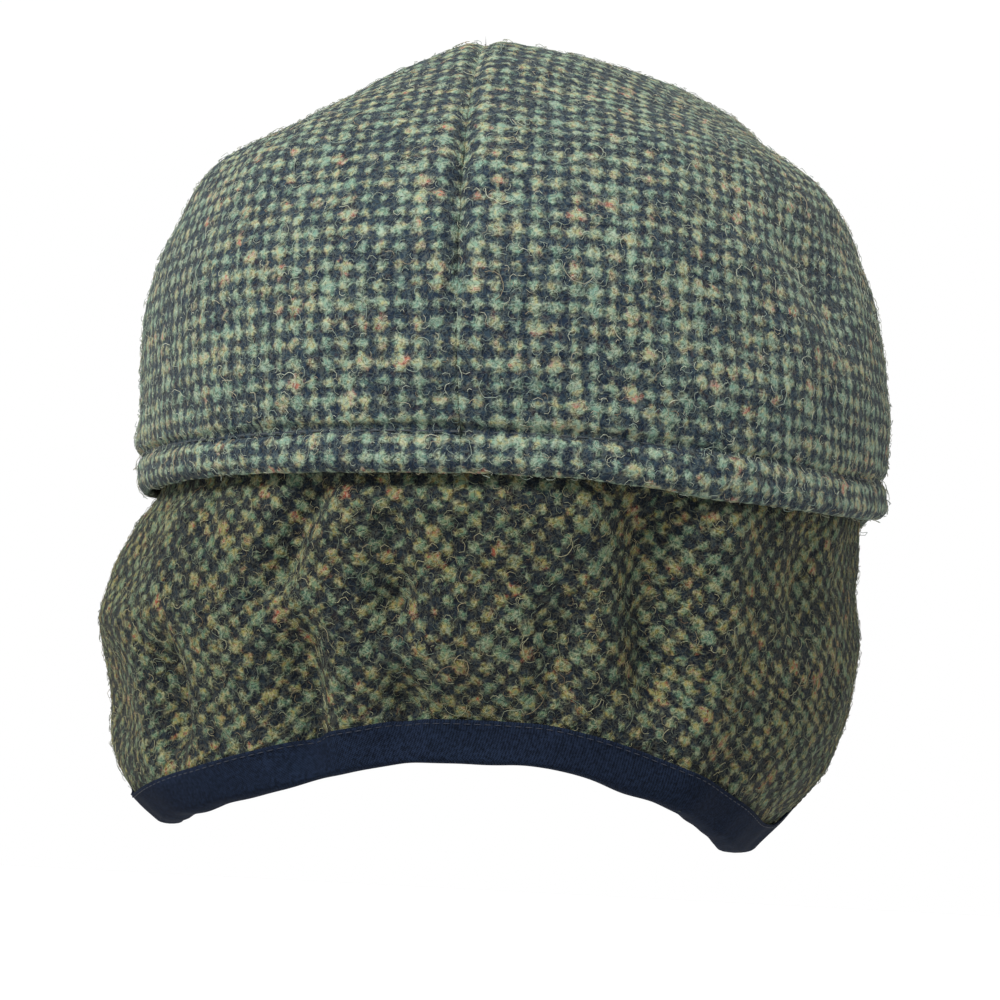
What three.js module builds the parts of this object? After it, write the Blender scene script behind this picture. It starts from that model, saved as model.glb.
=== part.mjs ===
// Tweed flat cap with a fold-down ear and neck flap.
//
// The crown is two mirrored halves of tweed that meet in a seam from the nape, over the top, to the
// front. Its lower edge is a turned hem, stitched a finger's width up. A bound flap hangs from inside
// the hem, round the nape and over both ears, and a stiff peak sits under the front of the crown.
//
// Millimetres. The origin is the middle of the head opening, level with the hem. +Z is up, -Y is the
// wearer's front, and +X is the wearer's left.

import * as THREE from 'three';

// ---------------------------------------------------------------- driving sizes

const PIECE_GAP = 0.3; // clearance between pieces that touch
const FLAP_CLOTH = 2.6;
const PEAK_BOARD = 4.6; // stiffener covered with tweed on both faces
const HEM_FADE = 30; // the hem's dip and rise fade out over this much of the wall
const CROWN_LEAN = 0.045; // sideways slump of the crown to the wearer's left, for each unit of height

const CROWN_STEPS = 30; // columns of a crown half, from the back seam to the front seam
const FLAP_HALF_STEPS = 34; // columns of the flap from the nape to a temple
const FLAP_ROWS = 10; // rows of the flap between the hem and the binding
const PEAK_STEPS = 28;
const PEAK_ROWS = 6;

const DEG = Math.PI / 180;

// The outside of the hem in plan, round the head opening. left, right: half widths. mid: how far
// behind the origin the widest place is. back, front: reach from the origin. square: 2 is an
// ellipse, more is boxier.
const HEM = { left: 91.5, right: 92.6, mid: -5, back: 103, front: 136.5, square: 2.1 };

// Height of the hem's under edge from the nape forwards on each side: it dips behind the ears.
const HEM_LEVELS = [
  { y: 103, left: 0, right: 0 },
  { y: 82, left: -1.2, right: -2.4 },
  { y: 58, left: -1.8, right: -3.5 },
  { y: 30, left: -2.0, right: -2.8 },
  { y: -5, left: -1.2, right: -0.4 },
  { y: -50, left: -0.6, right: -0.4 },
];
const OVER_PEAK = { from: 18, to: 48 }; // in front of the origin, the hem passes on to the peak here

// ---------------------------------------------------------------- crown table

// A row for each ring of the crown, from the hem's under edge to the crest beside the seam.
// left, right: half widths. mid: how far behind the origin the widest place is. back, front: reach
// of the ring from the origin. zSide, zBack, zFront: its height at the widest place, at the nape and
// at the front. square: 2 is an ellipse, more is boxier. cloth: wall thickness. steps: facets up to
// the next row.
const RING_SIZES = [
  'left', 'right', 'mid', 'back', 'front', 'zSide', 'zBack', 'zFront', 'square', 'cloth', 'steps',
];
const CROWN_RINGS = [
  [90.2, 90.2, -5, 100.6, 134.0, 0, 0, 0, 2.1, 2.4, 1], // hem's under edge
  [92.6, 93.4, -5, 103.0, 136.5, 1.6, 1.6, 1.6, 2.1, 4.0, 1], // roll of the hem
  [92.8, 93.2, -5, 103.0, 137.0, 6.4, 6.4, 6.4, 2.1, 4.0, 1], // under the stitches
  [92.2, 92.4, -5, 101.8, 136.5, 8.6, 8.6, 8.6, 2.1, 3.4, 1], // groove of the stitches
  [95.0, 94.6, -10, 103.6, 137.5, 11, 11, 11, 2.1, 2.6, 2], // springs out over the stitches
  [93.4, 95.7, -15, 106.6, 137.5, 23, 25, 19, 2.15, 2.4, 2], // fullest place
  [91.4, 93.2, -15, 106.0, 131.0, 45, 44, 33, 2.2, 2.4, 2], // wall
  [85.3, 89.0, -15, 101.0, 121.0, 61, 58, 46, 2.2, 2.4, 2], // shoulder
  [77.6, 84.4, -12, 91.0, 106.0, 74, 74, 60, 2.15, 2.4, 2], // over the shoulder
  [56.5, 70.9, -8, 78.0, 86.0, 84.5, 87, 74, 2.1, 2.4, 2], // slope
  [35.0, 56.3, 0, 64.0, 66.0, 96.5, 97.5, 85, 2.0, 2.4, 2], // roof
  [17.5, 28.0, 0, 54.0, 52.0, 104.8, 103.2, 92, 2.0, 2.4, 1], // beside the crest
  [0.15, 0.15, 0, 50.0, 46.0, 106.6, 104.8, 94, 2.0, 2.4, 0], // crest, at the seam
].map((row) => Object.fromEntries(row.map((size, k) => [RING_SIZES[k], size])));

// ---------------------------------------------------------------- flap tables

// A row for each level of the flap, from inside the hem downwards. The insets say how far inside the
// hem's outline its outer face lies, at the nape and over the left and right ear.
const FLAP_LEVELS = [
  { z: 10, nape: 5.4, left: 4.6, right: 4.6 },
  { z: -3.4, nape: 5.6, left: 4.6, right: 4.6 },
  { z: -9, nape: 6.3, left: -1.2, right: 6.6 },
  { z: -20, nape: 8.2, left: -6.2, right: 6.6 },
  { z: -35, nape: 10.5, left: -9.0, right: 5.2 },
  { z: -52, nape: 14.5, left: -5.6, right: 8.4 },
  { z: -64, nape: 17.5, left: -4.4, right: 13.6 },
  { z: -74, nape: 20.5, left: 1.4, right: 22.0 },
  { z: -86, nape: 24.5, left: 14.0, right: 31.0 },
];
const OVER_EAR = { from: 8, to: 72 }; // degrees from the nape between which the ear's insets take over
// The flap lies deeper at the temples, where the binding runs up inside the hem: how much, and the
// turns and heights between which that comes in.
const TEMPLE = { inset: 1.2, from: 82, to: 90, low: -12, high: -5 };

const FOLD_START = 14; // a fold comes in over this much height below its high end
const FOLD_END = 8; // and goes out this far above and below its low end
// Soft folds of the flap: where each lies round the cap (degrees from the nape, positive to the
// wearer's left), its slant (degrees for each millimetre of fall), how deep it goes (negative stands
// proud), its half width in degrees, and the heights between which it runs.
const FLAP_FOLDS = [
  { at: 52, slant: 0.25, depth: 2.0, width: 5.0, high: 2, low: -26 },
  { at: 31, slant: 0.1, depth: 2.8, width: 4.5, high: 4, low: -62 },
  { at: 10, slant: 0.22, depth: 2.2, width: 4.5, high: -10, low: -58 },
  { at: 64, slant: 0, depth: 2.8, width: 7.0, high: -30, low: -62 },
  { at: -26, slant: -0.05, depth: 4.2, width: 7.0, high: 4, low: -58 },
  { at: -40, slant: 0, depth: -2.2, width: 6.0, high: -6, low: -70 },
];

// The flap's free edge, from the nape along the bottom and up the front to the temple: degrees from
// the nape, and height on each side.
const FLAP_EDGE = [
  { at: 0, left: -58.9, right: -58.9 },
  { at: 15, left: -61.0, right: -59.7 },
  { at: 32, left: -67.2, right: -66.0 },
  { at: 50, left: -74.2, right: -74.4 },
  { at: 66, left: -76.0, right: -79.6 },
  { at: 80, left: -71.0, right: -74.0 },
  { at: 91, left: -56.0, right: -60.0 },
  { at: 98, left: -36.0, right: -38.0 },
  { at: 101, left: -12.0, right: -12.0 },
  { at: 102, left: 3.0, right: 3.0 },
];
const FLAP_TOP = 10; // height of its hidden upper edge
const FLAP_FREE = -3.4; // below this height the flap is free of the hem

const EDGE_SAMPLES = 20; // samples of the free edge between two rows of its table

// tape: its thickness. width: of each leaf. air: between a leaf and the flap.
const BINDING = { tape: 0.8, width: 8.2, air: 0.4 };

// ---------------------------------------------------------------- peak sizes

const PEAK = {
  halfAngle: 66, // degrees each side of the front
  inside: { left: 80, right: 80, mid: 0, back: 0, front: 101, square: 2 },
  outside: { left: 89, right: 89, mid: 0, back: 0, front: 166, square: 2.25 },
  top: 4.0, // height of its upper face at the head opening
  droop: 17.0, // fall from there to the front edge
  droopFrom: 30, // distance in front of the origin where the fall begins
  arch: 7.0, // fall from the middle to the corners
};

// ---------------------------------------------------------------- small helpers

/** Catmull-Rom value between b and c, with a before and d after them. */
function blendFour(a, b, c, d, t) {
  const square = 2 * a - 5 * b + 4 * c - d;
  const cube = 3 * b - a - 3 * c + d;
  return b + 0.5 * ((c - a) * t + square * t ** 2 + cube * t ** 3);
}

/** Smooth value of a table's column at a place given by its key column, which may rise or fall. */
function readTable(rows, key, column, place) {
  const rising = rows[rows.length - 1][key] > rows[0][key];
  let i = 0;
  const past = (row) => (rising ? place > row[key] : place < row[key]);
  while (i < rows.length - 2 && past(rows[i + 1])) i += 1;
  const t = (place - rows[i][key]) / (rows[i + 1][key] - rows[i][key]);
  const at = (j) => rows[Math.min(Math.max(j, 0), rows.length - 1)][column];
  return blendFour(at(i - 1), at(i), at(i + 1), at(i + 2), Math.min(Math.max(t, 0), 1));
}

/** 0 before a, 1 after b, and a smooth rise between. */
function smoothStep(a, b, x) {
  const t = Math.min(Math.max((x - a) / (b - a), 0), 1);
  return t * t * (3 - 2 * t);
}

/** One closed solid from a grid of outer points and the matching grid of inner points. */
function closedWall(outer, inner) {
  const rows = outer.length;
  const columns = outer[0].length;
  const positions = [outer, inner].flat(2).flatMap((p) => [p.x, p.y, p.z]);
  const index = [];
  const id = (side, i, j) => side * rows * columns + i * columns + j;
  const quad = (a, b, c, d) => index.push(a, b, c, a, c, d);
  for (let i = 0; i < rows - 1; i += 1) {
    for (let j = 0; j < columns - 1; j += 1) {
      quad(id(0, i, j), id(0, i, j + 1), id(0, i + 1, j + 1), id(0, i + 1, j));
      quad(id(1, i, j), id(1, i + 1, j), id(1, i + 1, j + 1), id(1, i, j + 1));
    }
  }
  for (let i = 0; i < rows - 1; i += 1) {
    quad(id(0, i, 0), id(0, i + 1, 0), id(1, i + 1, 0), id(1, i, 0));
    const last = columns - 1;
    quad(id(0, i, last), id(1, i, last), id(1, i + 1, last), id(0, i + 1, last));
  }
  for (let j = 0; j < columns - 1; j += 1) {
    quad(id(0, 0, j), id(1, 0, j), id(1, 0, j + 1), id(0, 0, j + 1));
    quad(id(0, rows - 1, j), id(0, rows - 1, j + 1), id(1, rows - 1, j + 1), id(1, rows - 1, j));
  }
  const geometry = new THREE.BufferGeometry();
  geometry.setAttribute('position', new THREE.Float32BufferAttribute(positions, 3));
  geometry.setIndex(index);
  if (signedVolume(geometry) < 0) {
    geometry.setIndex(index.reverse());
  }
  geometry.computeVertexNormals();
  return geometry;
}

/** Six times the volume inside a geometry, negative where its facets face inwards. */
function signedVolume(geometry) {
  const p = geometry.getAttribute('position');
  const index = geometry.getIndex().array;
  const [a, b, c] = [new THREE.Vector3(), new THREE.Vector3(), new THREE.Vector3()];
  let six = 0;
  for (let k = 0; k < index.length; k += 3) {
    a.fromBufferAttribute(p, index[k]);
    b.fromBufferAttribute(p, index[k + 1]);
    c.fromBufferAttribute(p, index[k + 2]);
    six += a.dot(b.cross(c));
  }
  return six;
}

/** Outward unit normals of a grid of points, by differences with its neighbours. */
function gridNormals(grid) {
  return grid.map((row, i) => row.map((_, j) => {
    const [next, last] = [row[Math.min(j + 1, row.length - 1)], row[Math.max(j - 1, 0)]];
    const [above, below] = [grid[Math.min(i + 1, grid.length - 1)][j], grid[Math.max(i - 1, 0)][j]];
    const along = new THREE.Vector3().subVectors(next, last);
    const up = new THREE.Vector3().subVectors(above, below);
    return along.cross(up).normalize();
  }));
}

function namedMesh(name, geometry, material) {
  const mesh = new THREE.Mesh(geometry, material);
  mesh.name = name;
  return mesh;
}

// ---------------------------------------------------------------- peak surface

/** Height of the peak's upper face over a point of the plan. */
function peakTop(x, y) {
  const reach = (-y - PEAK.droopFrom) / (PEAK.outside.front - PEAK.droopFrom);
  return PEAK.top - PEAK.droop * Math.max(reach, 0) ** 2 - PEAK.arch * (x / PEAK.outside.left) ** 2;
}

/** Height of the crown's under edge: a dip behind the ears, and on the peak's upper face in front. */
function hemHeight(half, x, y) {
  const overPeak = smoothStep(OVER_PEAK.from, OVER_PEAK.to, -y);
  const dip = readTable(HEM_LEVELS, 'y', half, y);
  return dip * (1 - overPeak) + (peakTop(x, y) + PIECE_GAP) * overPeak;
}

// ---------------------------------------------------------------- crown

/** A plan outline's point on one half. The turn is 0 at the nape and 180 degrees at the front. */
function outlinePoint(outline, half, turn) {
  const c = Math.cos(turn);
  const power = 2 / outline.square;
  const reach = c > 0 ? outline.back - outline.mid : outline.front + outline.mid;
  const x = outline[half] * Math.abs(Math.sin(turn)) ** power;
  const y = outline.mid + reach * Math.sign(c) * Math.abs(c) ** power;
  return new THREE.Vector2(x, y);
}

/** A point of a crown ring's half. */
function ringPoint(ring, half, turn) {
  const plan = outlinePoint(ring, half, turn);
  const c = Math.cos(turn);
  const end = c > 0 ? ring.zBack : ring.zFront;
  return new THREE.Vector3(plan.x, plan.y, ring.zSide + (end - ring.zSide) * c * c);
}

/** The rings of the table with the facets between them, smoothly blended. */
function crownRings() {
  const rings = [];
  CROWN_RINGS.forEach((row, i) => {
    const at = (j) => CROWN_RINGS[Math.min(Math.max(j, 0), CROWN_RINGS.length - 1)];
    const [before, after, beyond] = [at(i - 1), at(i + 1), at(i + 2)];
    const blend = (t) => (key) => [key, blendFour(before[key], row[key], after[key], beyond[key], t)];
    for (let k = 0; k < Math.max(row.steps, 1); k += 1) {
      rings.push(Object.fromEntries(RING_SIZES.map(blend(k / Math.max(row.steps, 1)))));
    }
  });
  return rings;
}

/** One half of the crown: 'left' or 'right', as the wearer has it. */
function crownHalf(half) {
  const side = half === 'left' ? 1 : -1;
  const rings = crownRings();
  const outer = rings.map((ring) => {
    const row = [];
    for (let j = 0; j <= CROWN_STEPS; j += 1) {
      const p = ringPoint(ring, half, (j / CROWN_STEPS) * Math.PI);
      p.z += hemHeight(half, p.x, p.y) * (1 - smoothStep(0, HEM_FADE, p.z));
      row.push(p);
    }
    return row;
  });
  const normals = gridNormals(outer);
  const inner = outer.map((row, i) => row.map((p, j) => {
    const n = normals[i][j];
    const onSeam = j === 0 || j === CROWN_STEPS || i === rings.length - 1;
    if (onSeam) n.setX(0).normalize();
    if (n.dot(p) < 0) n.negate();
    return new THREE.Vector3().copy(p).addScaledVector(n, -rings[i].cloth);
  }));
  for (const grid of [outer, inner]) {
    for (const row of grid) {
      for (const p of row) {
        p.x = side * Math.max(p.x, PIECE_GAP / 2) + CROWN_LEAN * Math.max(p.z, 0);
      }
    }
  }
  return closedWall(outer, inner);
}

// ---------------------------------------------------------------- flap

/** How far the folds push the flap's face inwards at a turn and height. */
function foldDepth(turn, z) {
  let depth = 0;
  for (const fold of FLAP_FOLDS) {
    const across = (turn - fold.at + fold.slant * z) / fold.width;
    const start = smoothStep(-fold.high, FOLD_START - fold.high, -z);
    const end = smoothStep(fold.low - FOLD_END, fold.low + FOLD_END, z);
    depth += fold.depth * start * end * Math.exp(-across * across);
  }
  return depth;
}

/** A point of the flap at a turn and height, moved inwards by depth from its outer face. */
function flapPoint(turn, z, depth) {
  const half = turn > 0 ? 'left' : 'right';
  const overEar = smoothStep(OVER_EAR.from, OVER_EAR.to, Math.abs(turn));
  const ear = readTable(FLAP_LEVELS, 'z', half, z);
  const nape = readTable(FLAP_LEVELS, 'z', 'nape', z);
  const inHem = smoothStep(TEMPLE.low, TEMPLE.high, z);
  const temple = TEMPLE.inset * smoothStep(TEMPLE.from, TEMPLE.to, Math.abs(turn)) * inHem;
  const inset = nape + (ear - nape) * overEar + temple + foldDepth(turn, z) + depth;
  const angle = Math.abs(turn) * DEG;
  const here = outlinePoint(HEM, half, angle);
  const ahead = outlinePoint(HEM, half, angle + 0.5 * DEG);
  const behind = outlinePoint(HEM, half, Math.abs(angle - 0.5 * DEG));
  if (angle < 0.5 * DEG) behind.x = -behind.x;
  const along = ahead.sub(behind).normalize();
  const x = here.x + along.y * inset;
  return new THREE.Vector3(turn > 0 ? x : -x, here.y - along.x * inset, z);
}

/** Points of the flap's free edge on one half, evenly spaced, from the nape to the temple. */
function halfEdge(half) {
  const side = half === 'left' ? 1 : -1;
  const samples = [];
  for (let k = 0; k <= EDGE_SAMPLES * (FLAP_EDGE.length - 1); k += 1) {
    const i = Math.min(Math.floor(k / EDGE_SAMPLES), FLAP_EDGE.length - 2);
    const t = k / EDGE_SAMPLES - i;
    const [before, here, next, beyond] = [i - 1, i, i + 1, i + 2].map(
      (j) => FLAP_EDGE[Math.min(Math.abs(j), FLAP_EDGE.length - 1)],
    );
    const mirrored = i === 0 ? -1 : 1; // the row before the nape's is on the other side
    samples.push({
      turn: side * blendFour(mirrored * before.at, here.at, next.at, beyond.at, t),
      z: blendFour(before[half], here[half], next[half], beyond[half], t),
    });
  }
  let length = 0;
  for (let k = 1; k < samples.length; k += 1) {
    const run = (samples[k].turn - samples[k - 1].turn) * DEG * HEM.left;
    length += Math.hypot(run, samples[k].z - samples[k - 1].z);
    samples[k].length = length;
  }
  samples[0].length = 0;
  const even = [];
  for (let j = 0; j <= FLAP_HALF_STEPS; j += 1) {
    const want = (length * j) / FLAP_HALF_STEPS;
    const k = Math.max(samples.findIndex((sample) => sample.length >= want - 1e-9), 1);
    const t = (want - samples[k - 1].length) / (samples[k].length - samples[k - 1].length);
    even.push({
      turn: samples[k - 1].turn + (samples[k].turn - samples[k - 1].turn) * t,
      z: samples[k - 1].z + (samples[k].z - samples[k - 1].z) * t,
    });
  }
  return even;
}

/** For each column, a function that gives the turn and height at a distance in from the free edge. */
function placesFromEdge() {
  const edge = [...halfEdge('right').slice(1).reverse(), ...halfEdge('left')];
  return edge.map(({ turn, z }, j) => {
    const before = edge[Math.max(j - 1, 0)];
    const after = edge[Math.min(j + 1, edge.length - 1)];
    const slope = Math.atan2(after.z - before.z, (after.turn - before.turn) * DEG * HEM.left);
    const across = Math.sin(slope) / HEM.left / DEG;
    const place = (inward) => [turn - inward * across, z + inward * Math.cos(slope)];
    const leaf = flapPoint(turn, z, 0).distanceTo(flapPoint(...place(BINDING.width), 0));
    return (inward) => place((inward * BINDING.width) / leaf);
  });
}

/** The ear and neck flap, from its hidden edge inside the hem down to its free edge. */
function earFlap() {
  const columns = placesFromEdge().map((place) => {
    const [turn, seat] = place(BINDING.width);
    const free = Math.max(FLAP_FREE, (FLAP_TOP + seat) / 2);
    const column = [[turn, FLAP_TOP]];
    for (let i = 0; i <= FLAP_ROWS; i += 1) column.push([turn, free + ((seat - free) * i) / FLAP_ROWS]);
    column.push(place(BINDING.width / 2), place(0));
    return column;
  });
  const row = (i, depth) => columns.map((column) => flapPoint(...column[i], depth));
  const face = (depth) => columns[0].map((_, i) => row(i, depth));
  return closedWall(face(0), face(FLAP_CLOTH));
}

/** The tape round the flap's lower edge: a folded strip with a leaf outside and a leaf inside. */
function flapBinding() {
  const { tape, width, air } = BINDING;
  const under = FLAP_CLOTH + air; // the inner leaf lies this far behind the flap's outer face
  // A skin's section, from the outer leaf's upper edge round under the flap's edge: depth from the
  // flap's outer face, and distance in from the flap's edge. The fold under the edge is rounded.
  const section = (off) => [
    [-off, width], [-off, width / 2], [-off, 0], [-off * 0.4, -off],
    [FLAP_CLOTH + off * 0.4, -off], [under + off, 0], [under + off, width / 2], [under + off, width],
  ];
  const places = placesFromEdge();
  const line = ([depth, inward]) => places.map((place) => flapPoint(...place(inward), depth));
  const skin = (off) => section(off).map(line);
  return closedWall(skin(air + tape), skin(air));
}

// ---------------------------------------------------------------- peak

/** The peak: a curved crescent with its inside edge under the crown's front. */
function peak() {
  const face = (drop) => {
    const rows = [];
    for (let i = 0; i <= PEAK_ROWS; i += 1) {
      const row = [];
      for (let j = 0; j <= PEAK_STEPS; j += 1) {
        const w = (j / PEAK_STEPS) * 2 - 1;
        const turn = Math.PI - Math.abs(w) * PEAK.halfAngle * DEG;
        const near = outlinePoint(PEAK.inside, 'left', turn);
        const plan = near.lerp(outlinePoint(PEAK.outside, 'left', turn), i / PEAK_ROWS);
        const x = Math.sign(w) * plan.x;
        row.push(new THREE.Vector3(x, plan.y, peakTop(x, plan.y) - drop));
      }
      rows.push(row);
    }
    return rows;
  };
  return closedWall(face(0), face(PEAK_BOARD));
}

// ---------------------------------------------------------------- assembly

const tweed = new THREE.MeshStandardMaterial({ color: 0x55604f, roughness: 0.95, metalness: 0 });
const flapTweed = new THREE.MeshStandardMaterial({ color: 0x4a5142, roughness: 0.95, metalness: 0 });
const navyTape = new THREE.MeshStandardMaterial({ color: 0x1f2a3f, roughness: 0.8, metalness: 0 });

const cap = new THREE.Group();
cap.add(namedMesh('crown_left', crownHalf('left'), tweed));
cap.add(namedMesh('crown_right', crownHalf('right'), tweed));
cap.add(namedMesh('peak', peak(), tweed));
cap.add(namedMesh('ear_flap', earFlap(), flapTweed));
cap.add(namedMesh('flap_binding', flapBinding(), navyTape));

export default cap;
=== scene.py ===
"""Looks of a tweed flat cap with a fold-down ear and neck flap.

The cap is soft cloth held open as a head holds it. Each class below is one sub-assembly of it: the
two crown halves, the ear flap with its binding, the peak, the stitches and the loose wool. Sizes are
in millimetres in the tables, and in metres in the meshes. The origin is the middle of the head
opening, +Z is up, -Y is the wearer's front and +X is the wearer's left.
"""

import logging
import math
from dataclasses import dataclass, replace
from enum import Enum
from typing import Callable, Iterable, Optional, Sequence, Union

import bpy
import numpy as np
from mathutils import Matrix, Vector


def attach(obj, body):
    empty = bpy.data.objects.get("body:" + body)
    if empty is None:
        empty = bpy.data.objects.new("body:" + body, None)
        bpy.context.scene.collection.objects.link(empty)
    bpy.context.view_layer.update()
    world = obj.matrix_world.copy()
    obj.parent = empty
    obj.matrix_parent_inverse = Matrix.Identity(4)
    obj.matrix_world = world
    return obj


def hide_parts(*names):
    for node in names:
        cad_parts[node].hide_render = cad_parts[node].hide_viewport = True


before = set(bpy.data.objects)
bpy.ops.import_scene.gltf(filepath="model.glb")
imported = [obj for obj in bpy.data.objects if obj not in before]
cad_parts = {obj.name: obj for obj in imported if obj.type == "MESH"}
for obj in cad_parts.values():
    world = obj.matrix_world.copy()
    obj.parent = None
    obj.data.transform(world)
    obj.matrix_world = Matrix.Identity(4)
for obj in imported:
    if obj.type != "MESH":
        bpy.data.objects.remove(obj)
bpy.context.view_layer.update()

log = logging.getLogger("cap")

MM = 0.001
REPEAT = 4.0  # the tweed's repeat: one spot and the ground round it
HEM_STITCH = 3.4  # from stitch to stitch along the hem
BODY = "root"

Array = np.ndarray
Source = Union[bpy.types.Node, bpy.types.NodeSocket, bpy.types.ID, float, int, tuple, str, bool]


class Half(Enum):
    """A side of the cap, as the wearer has it, with the sign of its X."""

    LEFT = 1
    RIGHT = -1


class Layer(Enum):
    """Which side of the cloth a face belongs to, as a material index."""

    FACE = 0
    REVERSE = 1


# ------------------------------------------------------------------ small maths


def blend_four(a: Array, b: Array, c: Array, d: Array, t: Array) -> Array:
    """Catmull-Rom value between b and c.

    Args:
        a: Value before b.
        b: Value at t = 0.
        c: Value at t = 1.
        d: Value after c.
        t: Place between b and c.

    Returns:
        The blended value.
    """
    square = 2 * a - 5 * b + 4 * c - d
    cube = 3 * b - a - 3 * c + d
    return b + 0.5 * ((c - a) * t + square * t**2 + cube * t**3)


def read_table(keys: Sequence[float], values: Sequence[float], at: Array) -> Array:
    """Smooth value of a table's column.

    Args:
        keys: The key column, rising or falling.
        values: The column to read.
        at: The places to read it at, in the key's terms.

    Returns:
        The value at each place.
    """
    key, value, at = np.asarray(keys, float), np.asarray(values, float), np.asarray(at, float)
    if key[-1] < key[0]:
        key, at = -key, -at
    row = np.clip(np.searchsorted(key, at, side="left") - 1, 0, len(key) - 2)
    t = np.clip((at - key[row]) / (key[row + 1] - key[row]), 0, 1)
    ends = np.concatenate([value[:1], value, value[-1:]])
    return blend_four(ends[row], ends[row + 1], ends[row + 2], ends[row + 3], t)


def smooth_step(a: float, b: float, x: Array) -> Array:
    """0 before a, 1 after b, and a smooth rise between."""
    t = np.clip((x - a) / (b - a), 0, 1)
    return t * t * (3 - 2 * t)


def bump(x: Array, width: float) -> Array:
    """A round bump of height 1 at x = 0."""
    return np.exp(-((x / width) ** 2))


def nearest(values: Array, wanted: float) -> int:
    """Index of the value that is nearest to the wanted one."""
    return int(np.argmin(np.abs(values - wanted)))


def unit(vectors: Array) -> Array:
    """Vectors of length 1 along the last axis."""
    return vectors / np.maximum(np.linalg.norm(vectors, axis=-1, keepdims=True), 1e-9)


def soft_noise(points: Array, size: float, seed: int) -> Array:
    """Smooth unevenness over space, made of slow waves in fixed directions.

    Args:
        points: Positions, last axis X, Y and Z.
        size: Rough size of its lumps, in the points' unit.
        seed: Picks the waves.

    Returns:
        A value from about -1 to 1 for each position.
    """
    rng = np.random.default_rng(seed)
    total = np.zeros(points.shape[:-1])
    waves = 14
    for _ in range(waves):
        way = rng.normal(size=3)
        way *= rng.uniform(0.7, 1.6) * math.pi / size / np.linalg.norm(way)
        total += np.sin(points @ way + rng.uniform(0, 2 * math.pi))
    return total / math.sqrt(waves)


def lengths_along(points: Array, axis: int) -> Array:
    """Measure the paths along an axis of a grid of points.

    Args:
        points: The grid, rows by columns by 3.
        axis: 0 for the paths up the rows, 1 for those along the columns.

    Returns:
        Length of the path from its start to each point.
    """
    steps = np.linalg.norm(np.diff(points, axis=axis), axis=2)
    start = np.zeros_like(np.take(steps, [0], axis=axis))
    return np.concatenate([start, np.cumsum(steps, axis=axis)], axis=axis)


def grid_normals(points: Array) -> Array:
    """Unit normals of a grid of points, on the left of its columns as seen along its rows."""
    return unit(np.cross(np.gradient(points, axis=1), np.gradient(points, axis=0)))


def spots(grain: Array) -> Array:
    """Relief of the spotted weave: 1 on a spot's middle, -1 in the ground between four spots."""
    return np.cos(grain * (2 * math.pi / REPEAT)).sum(axis=-1) / 2


# ------------------------------------------------------------------ pieces


def settle(piece: bpy.types.Object, node: Optional[str] = None) -> bpy.types.Object:
    """Give a finished piece its body and the solid that it stands for.

    Args:
        piece: The piece.
        node: The plain solid's name, if it takes the place of one.

    Returns:
        The same piece.
    """
    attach(piece, BODY)
    if node:
        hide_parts(node)
    return piece


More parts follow.
